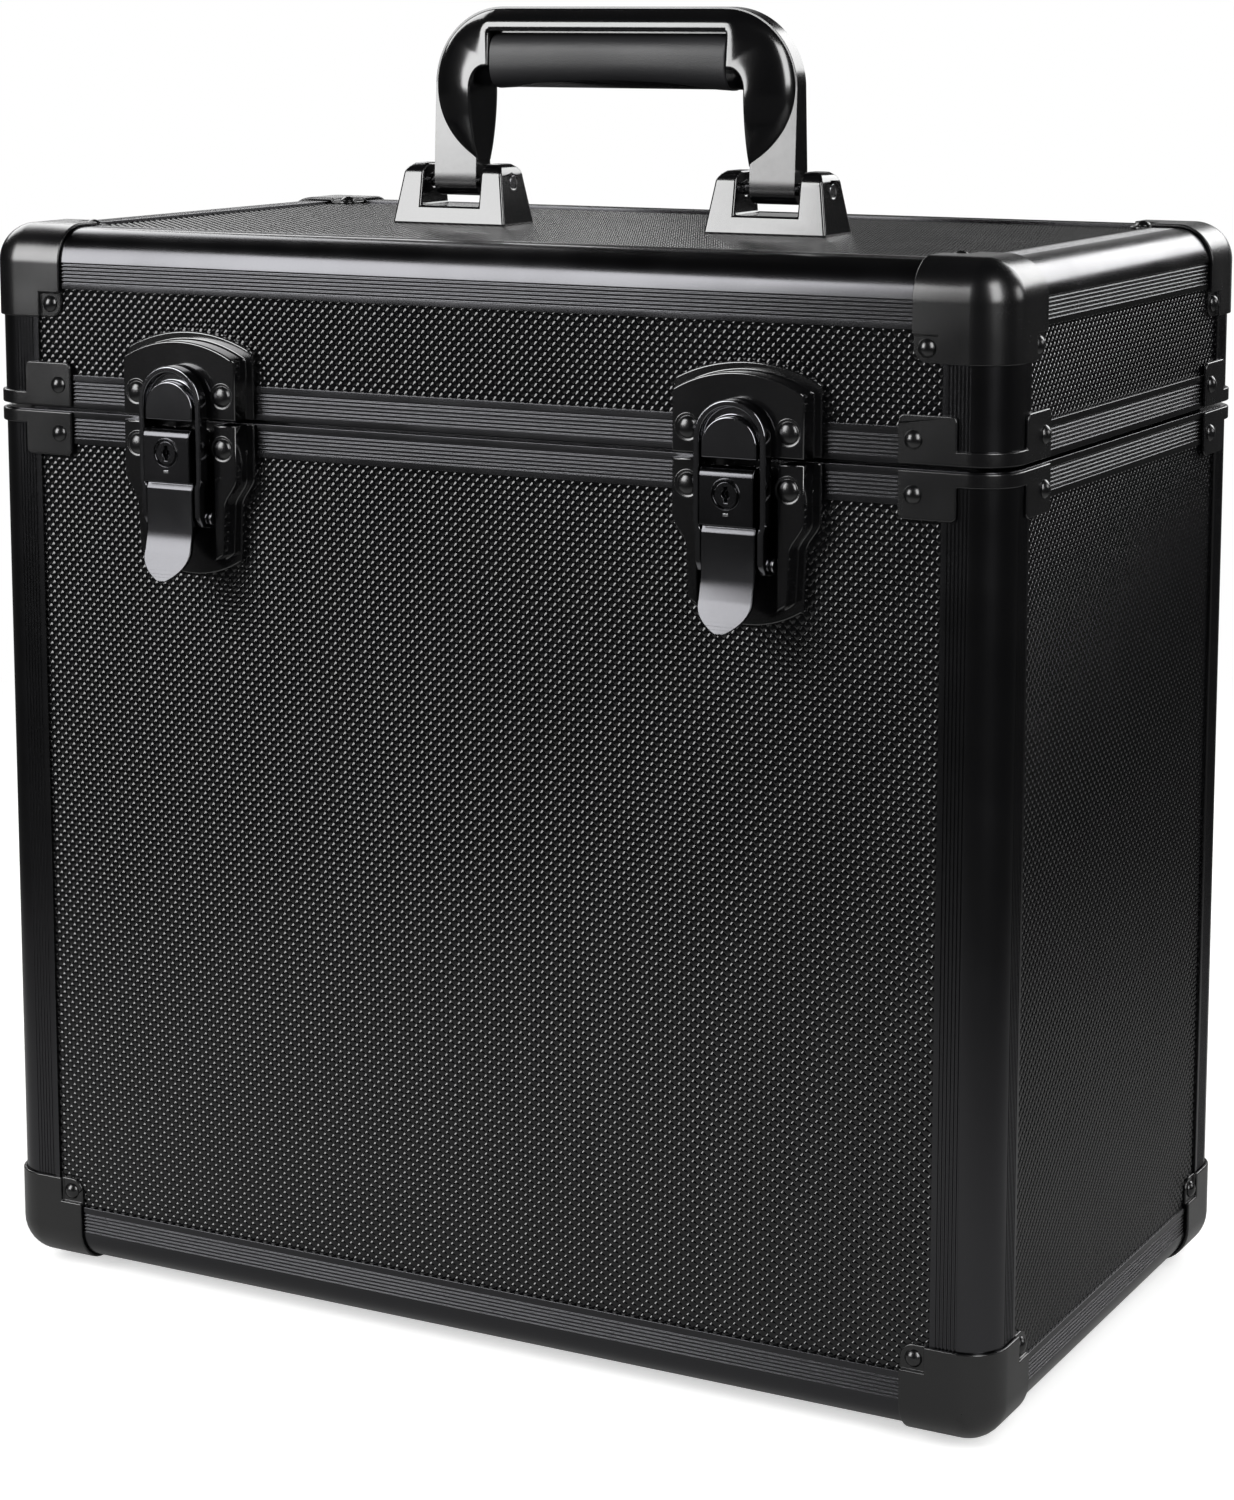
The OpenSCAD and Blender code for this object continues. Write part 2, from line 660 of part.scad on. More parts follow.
ear_t = 1.3;
ear_in = lever_w/2 - lever_t - free*0.75 - ear_t;
keeper_in = plug_d/2 + 0.9;
module latch_plate(s) color("#0f0f0f") on_latch(s) difference() {
    union() {
        mirror([0, 0, 1]) {
            outwards(0, plate_t) keep_outline(plate_flange);
            outwards(0, plate_h) difference() {
                keep_outline(0);
                translate([-trough_x, -1]) square([2*trough_x, 2*keep_h]);
            }
            outwards(-skin_t, 0) intersection() {
                keep_outline(plate_flange);
                translate([-plate_w, half_gap + rim_h + fit]) square([2*plate_w, keep_h*2]);
            }
        }
        for (t = [-1, 1]) {
            // Ear for the lever's pivot pin.
            translate([t*(ear_in + ear_t/2), 0, 0]) along_x(ear_t) union() {
                translate([plate_t - eps, -pivot_z - ear_r]) square([pivot_p - plate_t + eps, 2*ear_r]);
                translate([pivot_p, -pivot_z]) circle(ear_r);
            }
            // Keeper that the lock's cam turns under.
            translate([t*(keeper_in + 0.6), 0, 0]) along_x(1.2)
                translate([plate_t - eps, -lock_z - 1.8]) square([6, 3.6]);
            translate([t*(keeper_in - 0.1), 0, 0]) along_x(2.6)
                translate([plate_t + 4.5, -lock_z - 1.8]) square([1.5 - eps, 3.6]);
        }
    }
    mirror([0, 0, 1]) {
        rivet_pockets();
        plate_holes();
    }
    cross_bar(pivot_p, -pivot_z, pivot_d + 2*run, lever_w);
}
module lever_pins() color("#3a3a3c") for (s = [-1, 1]) on_latch(s)
    cross_bar(pivot_p, -pivot_z, pivot_d, lever_w + 1.2);

// ---------- latch: lever, lock, bail ----------

// Side view of the lever's front sheet in (height, z). Its top ends short
// of the pivot, so that it clears the ears when the lever is pulled out.
face_r = 3;
sheet_in = lever_face - 2.6;
module lever_side() {
    top = -1.7;
    t = lever_t;
    step = lever_face - 2.1;
    low = lever_face - 1.3;
    tip_run = lever_len - lever_flat_len - 6;
    polygon(concat(
        [[lever_face - face_r, top - t]],
        [for (i = [0:8]) [lever_face - face_r + face_r*sin(90*i/8), top - face_r + face_r*cos(90*i/8)]],
        [[lever_face, -lock_face_len], [step, -lock_face_len], [step, -lock_face_len - 0.9],
         [low - 0.3, -lock_face_len - 1.7], [low, -lock_face_len - 2.5],
         [low, -lever_flat_len], [low + 1.4, -lever_flat_len - 6],
         [tip_p, -lever_len + 0.6], [tip_p - 0.9, -lever_len],
         [low + 1.4 - t, -lever_flat_len - 6.6], [low - t, -lever_flat_len - 0.3],
         [low - t, -lock_face_len - 1.2], [sheet_in, -lock_face_len], [sheet_in, top - t]]));
}
// Front view of the lever: straight sides and a rounded tongue.
module lever_front() {
    start = lever_flat_len + 7;
    tip = lever_len - start;
    polygon(mirrored(concat([[lever_w/2, 0]],
        [for (i = [0:10]) [lever_w/2*pow(cos(9*i), 0.7), -start - tip*sin(9*i)]])));
}
module lever_flange() {
    polygon([[lever_face - 2, -1.9], [pivot_p - 0.5, -1.9], [pivot_p - 2.5, -3.6], [pivot_p - 2.7, -8],
        [bail_pin_p - 2.6, -bail_pin_z + 4], [bail_pin_p - 2.7, -bail_pin_z - 1.8], [bail_pin_p - 1, -bail_pin_z - 3],
        [bail_pin_p + 2, -bail_pin_z - 3], [lever_face - 2.2, -lever_flat_len - 2.5],
        [lever_face - 1.6, -lever_flat_len], [lever_face - 1.6, -lock_face_len - 2.5],
        [lever_face - 2.3, -lock_face_len - 1]]);
}
module lever(s) color("#161616") on_latch(s) difference() {
    union() {
        intersection() {
            along_x(lever_w) lever_side();
            outwards(0, tip_p + 1) lever_front();
        }
        for (t = [-1, 1]) translate([t*(lever_w - lever_t)/2, 0, 0]) along_x(lever_t) lever_flange();
        // Raised ring round the lock.
        translate([0, -lever_face + eps, -lock_z]) rotate([90, 0, 0]) cylinder(h = 0.4 + eps, d = plug_d + 1.4);
    }
    translate([0, -pivot_p + 1, -lock_z]) rotate([90, 0, 0]) cylinder(h = tip_p, d = plug_d + 2*run);
    cross_bar(pivot_p, -pivot_z, pivot_d + 2*run, lever_w + 2);
    cross_bar(bail_pin_p, -bail_pin_z, bail_pin_d + 2*run, lever_w + 2);
}

cam_p = plate_t + 2.7;
module lock_plug(s) color("#2b2b2d") on_latch(s) translate([0, 0, -lock_z]) difference() {
    union() {
        translate([0, -sheet_in, 0]) rotate([90, 0, 0]) cylinder(h = lever_face - sheet_in + 0.2, d = plug_d);
        translate([0, -cam_p, 0]) rotate([90, 0, 0]) cylinder(h = sheet_in - cam_p + eps, d = 4);
        translate([-1.5, -cam_p - 1.4, -plug_d/2 - 0.6]) cube([3, 1.4, plug_d + 1.2]);
    }
    // Keyway.
    translate([-0.5, -lever_face - 1, -2.4]) cube([1, 3, 4.8]);
    translate([0, -lever_face + 2, 0]) rotate([90, 0, 0]) cylinder(h = 4, d = 2.6);
}

module bail_pin(s) color("#3a3a3c") on_latch(s) {
    cross_bar(bail_pin_p, -bail_pin_z, bail_pin_d, bail_w);
    for (t = [-1, 1]) translate([t*(bail_w/2), 0, 0]) cross_bar(bail_pin_p, -bail_pin_z, bail_pin_head_d, 0.7);
}

bail_back = plate_h + ridge_h + 0.3;
jog = 0.7;
module bail_front_view() {
    hw = bail_w/2;
    cz = bail_top - hw;
    difference() {
        union() {
            translate([0, cz]) circle(hw);
            translate([-hw, -18.5]) square([2*hw, cz + 18.5]);
        }
        translate([0, cz]) circle(hw - bail_t);
        translate([-hw + bail_t, -19.5]) square([2*(hw - bail_t), cz + 19.5]);
    }
    for (t = [-1, 1]) polygon([
        [t*hw, -18.5 + eps], [t*(hw - bail_t), -18.5 + eps],
        [t*(hw - bail_t - jog), -21.5], [t*(hw - bail_t - jog), -bail_pin_z + 4],
        [t*(hw - jog), -bail_pin_z + 4], [t*(hw - jog), -21.5]]);
}
module bail_ear() {
    translate([bail_pin_p, -bail_pin_z]) circle(3.2);
    polygon([[bail_pin_p - 3, -bail_pin_z + 1], [bail_back, -bail_pin_z + 7], [bail_front, -bail_pin_z + 7],
        [bail_front, -bail_pin_z + 1], [bail_front - 2, -bail_pin_z - 2.4], [bail_pin_p + 1.5, -bail_pin_z - 2.8]]);
}
module pad_outline() {
    cz = pad_top - pad_w/2;
    translate([0, cz]) intersection() {
        circle(pad_w/2);
        translate([-pad_w/2, 0]) square([pad_w, pad_w/2]);
    }
    translate([-pad_w/2, 0.6]) square([pad_w, cz - 0.6]);
}
module bail(s) color("#121212") on_latch(s) difference() {
    hw = bail_w/2;
    cz = bail_top - hw;
    union() {
        outwards(bail_back, bail_front) bail_front_view();
        for (t = [-1, 1]) translate([t*(hw - jog - bail_t/2), 0, 0]) along_x(bail_t) bail_ear();
        outwards(bail_back, bail_back + 1.5) union() {
            translate([0, cz]) circle(hw - bail_t/2);
            translate([-hw + bail_t/2, 0.6]) square([bail_w - bail_t, cz - 0.6]);
        }
        outwards(bail_back, bail_front + 0.3) pad_outline();
    }
    // Below the pad the arch stays open for the lever.
    translate([-hw + bail_t, -bail_front - 1, -19.5]) cube([bail_w - 2*bail_t, bail_front, 19.5 + 0.6]);
    cross_bar(bail_pin_p, -bail_pin_z, bail_pin_d + 2*run, bail_w + 2);
}

// ---------- hinges ----------

// Hinge axis in latch-like coordinates on the rear side.
module hinge_leaf(up) {
    k = up ? 1 : -1;
    difference() {
        union() {
            translate([-hinge_w/2, -leaf_t, up ? half_gap : -leaf_len]) cube([hinge_w, leaf_t, leaf_len - half_gap]);
            if (up) cross_bar(hinge_p, 0, knuckle_d, lid_knuckle_w);
            else for (t = [-1, 1]) translate([t*(hinge_w + lid_knuckle_w)/4, 0, 0])
                cross_bar(hinge_p, 0, knuckle_d, (hinge_w - lid_knuckle_w)/2);
            // Web between the leaf and its knuckles.
            for (t = up ? [0] : [-1, 1])
                translate([t*(hinge_w + lid_knuckle_w)/4, 0, 0])
                    along_x(up ? lid_knuckle_w : (hinge_w - lid_knuckle_w)/2)
                        polygon([[0.2, k*half_gap], [hinge_p, k*half_gap], [leaf_t, k*knuckle_d*0.8], [0.2, k*knuckle_d*0.8]]);
            // Heel that stops the lid.
            if (up) translate([-lid_knuckle_w/2, -hinge_p - heel_len, -1.2]) cube([lid_knuckle_w, heel_len, 2.4]);
        }
        // Room for the other leaf's knuckles.
        r = knuckle_d + 2*free;
        if (up) for (t = [-1, 1]) translate([t*(hinge_w + lid_knuckle_w)/4, 0, 0])
            cross_bar(hinge_p, 0, r, (hinge_w - lid_knuckle_w)/2 + 2*knuckle_gap);
        else cross_bar(hinge_p, 0, r, lid_knuckle_w + 2*knuckle_gap);
        cross_bar(hinge_p, 0, hinge_pin_d + 2*run, hinge_w + 2);
        for (t = [-1, 1]) translate([t*hinge_rivet_x, 1, k*hinge_rivet_z]) rotate([90, 0, 0])
            cylinder(h = 6, d = rivet_d + 2*run);
    }
}
module hinge_leaves(up) color("#1c1c1e") for (s = [-1, 1]) on_hinge(s) hinge_leaf(up);
module hinge_pins() color("#7a7a7c") for (s = [-1, 1]) on_hinge(s) cross_bar(hinge_p, 0, hinge_pin_d, hinge_w + 0.8);

// ---------- lid ----------

module lid_edge(k) on_side(k) from_top() edge_bar(k);
module lid_posts() for (k = [0:3]) on_corner(k) post(seam_z + half_gap + skin_t + fit, case_h - profile_stop);
module lid_rim() color("#1b1b1c") for (k = [0:3]) on_side(k) difference() {
    translate([0, 0, seam_z]) rim_bar(k, leg_depth + web_t);
    rivet_holes_at(lid_sites(k));
}
module lid_cap(k) on_corner(k) from_top() cap();
module lid_clips() for (k = [0:3]) on_corner(k) translate([0, 0, seam_z]) clip();
module lid_rivets() color("#1d1d1d") {
    for (k = [0:3]) on_side(k) rivets_at(lid_sites(k));
    translate([0, y_shift, foot_h]) from_top() at_flat_sites() rotate([90, 0, 0]) rivet(0);
}
module lid_lining() color("#2a2a2c") translate([0, y_shift, foot_h]) from_top()
    tray(lid_h - tongue_h - 2*free);

// ---------- handle ----------

module bracket(s) color("#131313") on_bracket(s) difference() {
    intersection() {
        rotate([90, 0, 0]) translate([0, 0, -bracket_d]) linear_extrude(2*bracket_d)
            bracket_view(bracket_w/2, 4);
        rotate([90, 0, 90]) translate([0, 0, -bracket_w]) linear_extrude(2*bracket_w)
            bracket_view(bracket_d/2, 5);
    }
    translate([-slot_w/2, -bracket_d, slot_floor]) cube([slot_w, 2*bracket_d, bracket_h]);
    cross_bar(0, handle_pin_z, handle_pin_d + 2*run, bracket_w + 2);
    at_bracket_screws() translate([0, 0, -1]) cylinder(h = bracket_screw_len - panel_t + 1.5, d = screw_shank_d + 2*run);
}
// One view of a bracket: sloping sides and a rounded top.
module bracket_view(hw, r) {
    top = hw - bracket_draft;
    polygon(mirrored(concat([[hw, 0]],
        [for (i = [0:6]) [top - r + r*cos(15*i), bracket_h - r + r*sin(15*i)]])));
}
module bracket_screws() color("#8a8a8c") for (s = [-1, 1]) on_bracket(s) at_bracket_screws() {
    translate([0, 0, -panel_t - screw_head_h]) cylinder(h = screw_head_h - fit/2, d = screw_head_d);
    translate([0, 0, -panel_t - screw_head_h/2]) cylinder(h = bracket_screw_len, d = screw_shank_d);
}
handle_pin_len = bracket_w - 2*bracket_draft*handle_pin_z/bracket_h - 0.6;
module handle_pins() color("#9a9a9c") for (s = [-1, 1]) on_bracket(s)
    cross_bar(0, handle_pin_z, handle_pin_d, handle_pin_len);

// Handle coordinates: z = 0 is the lid panel's upper face.
module on_handle() translate([0, y_shift, foot_h + top_face]) children();
leg_out = bracket_x + leg_w/2;
leg_in = bracket_x - leg_w/2;
bar_low = handle_top - bar_h;

// Front view of the handle: two legs, round outer corners and a bar.
module handle_view() difference() {
    union() {
        translate([-leg_out, handle_pin_z]) square([2*leg_out, handle_top - handle_r - handle_pin_z]);
        for (t = [-1, 1]) translate([t*(leg_out - handle_r), handle_top - handle_r]) circle(handle_r);
        translate([-leg_out + handle_r, handle_top - handle_r - 1])
            square([2*(leg_out - handle_r), handle_r + 1]);
        for (t = [-1, 1]) translate([t*bracket_x - leg_w/2, handle_pin_z - leg_t/2]) square([leg_w, leg_t/2 + 1]);
    }
    gap_r = 5;
    translate([-leg_in, 0]) square([2*leg_in, bar_low - gap_r]);
    translate([-leg_in + gap_r, 0]) square([2*(leg_in - gap_r), bar_low]);
    for (t = [-1, 1]) translate([t*(leg_in - gap_r), bar_low - gap_r]) circle(gap_r);
}
// Side view of the handle: slim at the pins, full at the grip bar.
module handle_side() {
    translate([0, handle_pin_z]) circle(leg_t/2);
    polygon(mirrored([[leg_t/2, handle_pin_z], [bar_t/2, bar_low], [bar_t/2, handle_top - bar_t/2]]));
    translate([0, handle_top - bar_t/2]) circle(bar_t/2);
}
// Section of the soft grip in (y, z), round below.
core_t = 8;
core_h = 9;
module grip_section(g) {
    w = bar_t - 1.6 + 2*g;
    top = handle_top - spine_h + g;
    r = 7;
    translate([-w/2, bar_low + r]) square([w, top - bar_low - r]);
    translate([-w/2 + r, bar_low - g]) square([w - 2*r, r + 1]);
    for (t = [-1, 1]) translate([t*(w/2 - r), bar_low + r - g]) circle(r);
}
module handle_frame() color("#0e0e0e") on_handle() difference() {
    intersection() {
        rotate([90, 0, 0]) translate([0, 0, -bar_t]) linear_extrude(2*bar_t) handle_view();
        rotate([90, 0, 90]) translate([0, 0, -case_w/2]) linear_extrude(case_w) handle_side();
    }
    difference() {
        translate([-grip_len/2, -bar_t, bar_low - 1]) cube([grip_len, 2*bar_t, bar_h - spine_h + 1]);
        translate([-grip_len/2 - 1, -core_t/2, handle_top - spine_h - core_h]) cube([grip_len + 2, core_t, core_h + 1]);
    }
    for (s = [-1, 1]) translate([s*bracket_x, 0, 0]) cross_bar(0, handle_pin_z, handle_pin_d + 2*run, bracket_w);
}
module handle_grip() color("#232324") on_handle() difference() {
    len = grip_len - 2*fit;
    rotate([90, 0, 90]) translate([0, 0, -len/2]) linear_extrude(len) grip_section(-fit);
    translate([-grip_len, -core_t/2 - fit, handle_top - spine_h - core_h - fit])
        cube([2*grip_len, core_t + 2*fit, core_h + 2]);
}

// ---------- nodes ----------

body_panel(0);  // front_panel
body_panel(1);  // right_panel
body_panel(2);  // rear_panel
body_panel(3);  // left_panel
bottom_panel();
body_post(0);  // body_post_front_left
body_post(1);  // body_post_front_right
body_post(2);  // body_post_rear_right
body_post(3);  // body_post_rear_left
bottom_edge(0);  // bottom_edge_front
bottom_edge(1);  // bottom_edge_right
bottom_edge(2);  // bottom_edge_rear
bottom_edge(3);  // bottom_edge_left
body_rim();
bottom_caps();
body_clips();
body_rivets();
feet();
foot_screws();
body_lining();
latch_plate(-1);  // latch_plate_left
latch_plate(1);  // latch_plate_right
lever_pins();
hinge_leaves(false);  // hinge_leaves_body
hinge_pins();
lid_top_panel();
lid_panel(0);  // lid_front_panel
lid_panel(1);  // lid_right_panel
lid_panel(2);  // lid_rear_panel
lid_panel(3);  // lid_left_panel
lid_edge(0);  // lid_edge_front
lid_edge(1);  // lid_edge_right
lid_edge(2);  // lid_edge_rear
lid_edge(3);  // lid_edge_left
lid_posts();
lid_rim();
lid_cap(0);  // lid_cap_front_left
lid_cap(1);  // lid_cap_front_right
lid_cap(2);  // lid_cap_rear_right
lid_cap(3);  // lid_cap_rear_left
lid_clips();
lid_rivets();
lid_lining();
catch_plate(-1);  // catch_plate_left
catch_plate(1);  // catch_plate_right
hinge_leaves(true);  // hinge_leaves_lid
bracket(-1);  // handle_bracket_left
bracket(1);  // handle_bracket_right
bracket_screws();
handle_pins();
handle_frame();
handle_grip();
lever(-1);  // lever_left
lever(1);  // lever_right
lock_plug(-1);  // lock_plug_left
lock_plug(1);  // lock_plug_right
bail_pin(-1);  // bail_pin_left
bail_pin(1);  // bail_pin_right
bail(-1);  // bail_left
bail(1);  // bail_right
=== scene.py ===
# %% [markdown]
# # A record carrying case, dressed for its picture
# The case is a box of embossed boards in a ribbed aluminium frame. The
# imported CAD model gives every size, so each piece made here is measured
# against the CAD node that it stands for.

# %% The fixed frame
import json
import math

import bmesh
import bpy
import numpy as np
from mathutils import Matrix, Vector


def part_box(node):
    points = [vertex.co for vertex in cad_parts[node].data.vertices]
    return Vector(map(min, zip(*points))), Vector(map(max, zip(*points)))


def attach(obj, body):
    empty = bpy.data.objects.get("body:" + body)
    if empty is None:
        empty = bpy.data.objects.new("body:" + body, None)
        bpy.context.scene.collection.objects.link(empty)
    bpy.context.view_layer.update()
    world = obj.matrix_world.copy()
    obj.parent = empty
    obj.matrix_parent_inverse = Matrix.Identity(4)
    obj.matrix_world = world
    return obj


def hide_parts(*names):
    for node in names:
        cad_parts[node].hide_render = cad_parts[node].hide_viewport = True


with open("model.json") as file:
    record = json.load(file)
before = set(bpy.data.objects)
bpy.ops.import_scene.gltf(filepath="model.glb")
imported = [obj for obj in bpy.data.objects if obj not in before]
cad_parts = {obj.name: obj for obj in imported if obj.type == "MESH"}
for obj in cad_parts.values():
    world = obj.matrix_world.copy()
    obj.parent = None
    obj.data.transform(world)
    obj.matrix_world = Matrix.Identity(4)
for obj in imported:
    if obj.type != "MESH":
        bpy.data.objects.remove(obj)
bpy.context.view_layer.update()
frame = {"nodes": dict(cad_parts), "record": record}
MM = 0.001

# %% [markdown]
# The camera comes first. Its place was worked out from the rivets and the
# frame's edges: a long lens, a little above the lid, 28 degrees to the
# right of the front. The lens is shifted downwards, which keeps the
# upright edges of the case nearly parallel.

# %% Camera
FOCAL_PX = 3440              # focal length in pixels of the 1234 x 1500 picture
PICTURE = (1234, 1500)
AXIS_PX = (617, 525)         # where the lens axis meets the picture
SENSOR_MM = 36
AZIMUTH, ELEVATION = math.radians(28.1), math.radians(8.63)

camera = bpy.data.objects.new("camera", bpy.data.cameras.new("camera"))
bpy.context.scene.collection.objects.link(camera)
camera.location = (0.5382, -1.0027, 0.429)
looks = Vector((-math.sin(AZIMUTH) * math.cos(ELEVATION),
                math.cos(AZIMUTH) * math.cos(ELEVATION), -math.sin(ELEVATION)))
camera.rotation_euler = looks.to_track_quat("-Z", "Y").to_euler()
camera.data.sensor_width = SENSOR_MM
camera.data.lens = SENSOR_MM * FOCAL_PX / PICTURE[1]
camera.data.shift_x = (PICTURE[0] / 2 - AXIS_PX[0]) / PICTURE[1]
camera.data.shift_y = (AXIS_PX[1] - PICTURE[1] / 2) / PICTURE[1]
camera.data.clip_start = 0.01
bpy.context.scene.camera = camera
bpy.context.scene.view_settings.view_transform = "Standard"
print("lens", round(camera.data.lens, 1), "mm")

# %% [markdown]
# Colours are written as sRGB hex values, as one reads them off a swatch,
# and turned to the linear values that the renderer works with. One small
# function adds a shader node with its settings, values and links.

# %% Colour and node helpers
def rgb(hex_colour):
    """sRGB hex to linear RGBA: a channel c becomes ((c + 0.055)/1.055)^2.4, or c/12.92 near black."""
    c = np.array([int(hex_colour[i:i + 2], 16) / 255 for i in (1, 3, 5)])
    linear = np.where(c > 0.04045, ((c + 0.055) / 1.055) ** 2.4, c / 12.92)
    return (*linear.tolist(), 1.0)


def add(tree, kind, settings=(), **inputs):
    """Adds a node. An input is named, or numbered as _0, and gets a value or the socket that
    feeds it."""
    made = tree.nodes.new(kind)
    for key, value in dict(settings).items():
        setattr(made, key, value)
    for key, value in inputs.items():
        socket = made.inputs[int(key[1:])] if key[0] == "_" else made.inputs[key.replace("_", " ")]
        if isinstance(value, bpy.types.NodeSocket):
            tree.links.new(value, socket)
        else:
            socket.default_value = value
    return made


def material(name, **shader):
    """A material with one Principled shader whose plain values are given. Returns it, its tree, its
    shader, and a socket with the object coordinates in millimetres."""
    m = bpy.data.materials.new(name)
    m.use_nodes = True
    tree = m.node_tree
    tree.nodes.clear()
    bsdf = add(tree, "ShaderNodeBsdfPrincipled", **shader)
    add(tree, "ShaderNodeOutputMaterial", Surface=bsdf.outputs[0])
    where = add(tree, "ShaderNodeTexCoord").outputs["Object"]
    mm = add(tree, "ShaderNodeVectorMath", {"operation": "SCALE"}, _0=where, Scale=1000.0).outputs[0]
    return m, tree, bsdf, mm


def maths(tree, operation, a, b):
    """The result of one Math node, as a socket."""
    return add(tree, "ShaderNodeMath", {"operation": operation}, _0=a, _1=b).outputs[0]


def step(tree, value, start, end, **levels):
    """A smooth step of value between start and end, from To_Min (0) to To_Max (1), as a socket."""
    return add(tree, "ShaderNodeMapRange", {"interpolation_type": "SMOOTHSTEP"}, Value=value,
               From_Min=start, From_Max=end, **levels).outputs[0]

# %% [markdown]
# A black case lives from what it reflects. Four softboxes stand round it:
# one to the front left, which lights every face that leans back a little,
# one to the front right, which draws the stripe on the upright corner, and
# two behind, which bring out the lid's edges and the rear. Two small low
# ones only put glints on the lid and the right side. All else is dark.
# The floor and the backdrop are white to the camera and to gloss.

# %% Floor, backdrop and softboxes
LAMPS_AIM = Vector((0, 0, 0.25))


def softbox(name, azimuth, elevation, distance, width, height, radiance):
    """A rectangular lamp that faces the case's middle. Its power is radiance times pi times its area.
    Angles are in degrees, from the case's front and from the floor; lengths are in metres."""
    lamp = bpy.data.lights.new(name, "AREA")
    lamp.shape, lamp.size, lamp.size_y = "RECTANGLE", width, height
    lamp.energy = radiance * math.pi * width * height
    made = bpy.data.objects.new(name, lamp)
    a, e = math.radians(azimuth), math.radians(elevation)
    away = Vector((math.sin(a) * math.cos(e), -math.cos(a) * math.cos(e), math.sin(e)))
    made.location = LAMPS_AIM + away * distance
    made.rotation_euler = (-away).to_track_quat("-Z", "Y").to_euler()
    bpy.context.scene.collection.objects.link(made)
    return made


softbox("softbox_front_left", -34, 21.5, 1.5, 0.7, 0.95, 9.0)
softbox("softbox_front_right", 54, 28, 1.6, 0.62, 1.2, 8.0)
softbox("softbox_back_left", -118, 32, 1.8, 0.9, 0.9, 4.0)
softbox("softbox_back_right", 160, 26, 1.8, 1.0, 0.8, 5.0)
softbox("glint_box_lid", -142, 18, 1.8, 0.5, 0.4, 2.2)
softbox("glint_box_side", 118, 16, 1.8, 0.6, 0.5, 4.2)

world = bpy.data.worlds.new("studio")
bpy.context.scene.world = world
world.use_nodes = True
tree = world.node_tree
tree.nodes.clear()
ray = add(tree, "ShaderNodeLightPath").outputs
aim = add(tree, "ShaderNodeTexCoord").outputs["Generated"]
towards = add(tree, "ShaderNodeSeparateXYZ", _0=aim).outputs
# Gloss sees the backdrop at half strength, and only where it hangs: low down behind the case, on
# the left.
behind = maths(tree, "MULTIPLY", step(tree, towards["Y"], 0.7, 0.95), step(tree, towards["X"], 0.3, 0.0))
sweep = maths(tree, "MULTIPLY", behind, step(tree, towards["Z"], 0.4, 0.1, To_Max=0.5))
gloss = maths(tree, "MAXIMUM", ray["Is Glossy Ray"], ray["Is Transmission Ray"])
seen = maths(tree, "MAXIMUM", maths(tree, "MULTIPLY", sweep, gloss), ray["Is Camera Ray"])
room = add(tree, "ShaderNodeBackground", Color=rgb("#ffffff"), Strength=0.02)
white = add(tree, "ShaderNodeBackground", Color=rgb("#ffffff"), Strength=1.0)
mixed = add(tree, "ShaderNodeMixShader", _0=seen, _1=room.outputs[0], _2=white.outputs[0])
add(tree, "ShaderNodeOutputWorld", Surface=mixed.outputs[0])

FLOOR_RADIUS, FLOOR_SIDES = 4, 96
floor_mesh = bpy.data.meshes.new("floor")
turn = np.linspace(0, 2 * math.pi, FLOOR_SIDES, endpoint=False)
disc = FLOOR_RADIUS * np.stack([np.cos(turn), np.sin(turn), 0 * turn], 1)
floor_mesh.from_pydata(disc.tolist(), [], [list(range(FLOOR_SIDES))])
floor = bpy.data.objects.new("floor", floor_mesh)
bpy.context.scene.collection.objects.link(floor)
# The floor's lift makes it white to the camera, yet keeps the shadow. Far out it turns to plain
# white for the camera and dark for gloss, by the distance from the case's middle in millimetres.
m, tree, bsdf, mm = material("pale_studio_floor", Base_Color=rgb("#e4e4e3"), Roughness=0.9,
                             Specular_IOR_Level=0.0, Emission_Color=rgb("#ffffff"))
ray = add(tree, "ShaderNodeLightPath").outputs
tree.links.new(maths(tree, "MULTIPLY", ray["Is Camera Ray"], 0.55), bsdf.inputs["Emission Strength"])
away = add(tree, "ShaderNodeVectorMath", {"operation": "LENGTH"}, _0=mm).outputs["Value"]
dark = maths(tree, "MULTIPLY", step(tree, away, 250.0, 800.0, To_Min=0.45), ray["Is Glossy Ray"])
bright = maths(tree, "MULTIPLY", step(tree, away, 500.0, 1100.0), ray["Is Camera Ray"])
night = add(tree, "ShaderNodeEmission", Color=rgb("#ffffff"), Strength=0.05)
day = add(tree, "ShaderNodeEmission", Color=rgb("#ffffff"), Strength=1.0)
near = add(tree, "ShaderNodeMixShader", _0=dark, _1=bsdf.outputs[0], _2=night.outputs[0])
both = add(tree, "ShaderNodeMixShader", _0=bright, _1=near.outputs[0], _2=day.outputs[0])
out = next(n for n in tree.nodes if n.type == "OUTPUT_MATERIAL")
tree.links.new(both.outputs[0], out.inputs["Surface"])
floor_mesh.materials.append(m)
print("four softboxes, two glint boxes and a floor")

# %% [markdown]
# Finishes. Every metal and plastic here is black, so what tells them apart
# is gloss: how sharp a reflection is, how strong, and what fine texture
# breaks it up. Each one starts from its material's usual roughness.

# %% Finishes
SMUDGE_MM, WAVE_MM = 26, 19      # size of the patches in a finish's roughness and of the sheet's waves
BLACK = rgb("#060607")


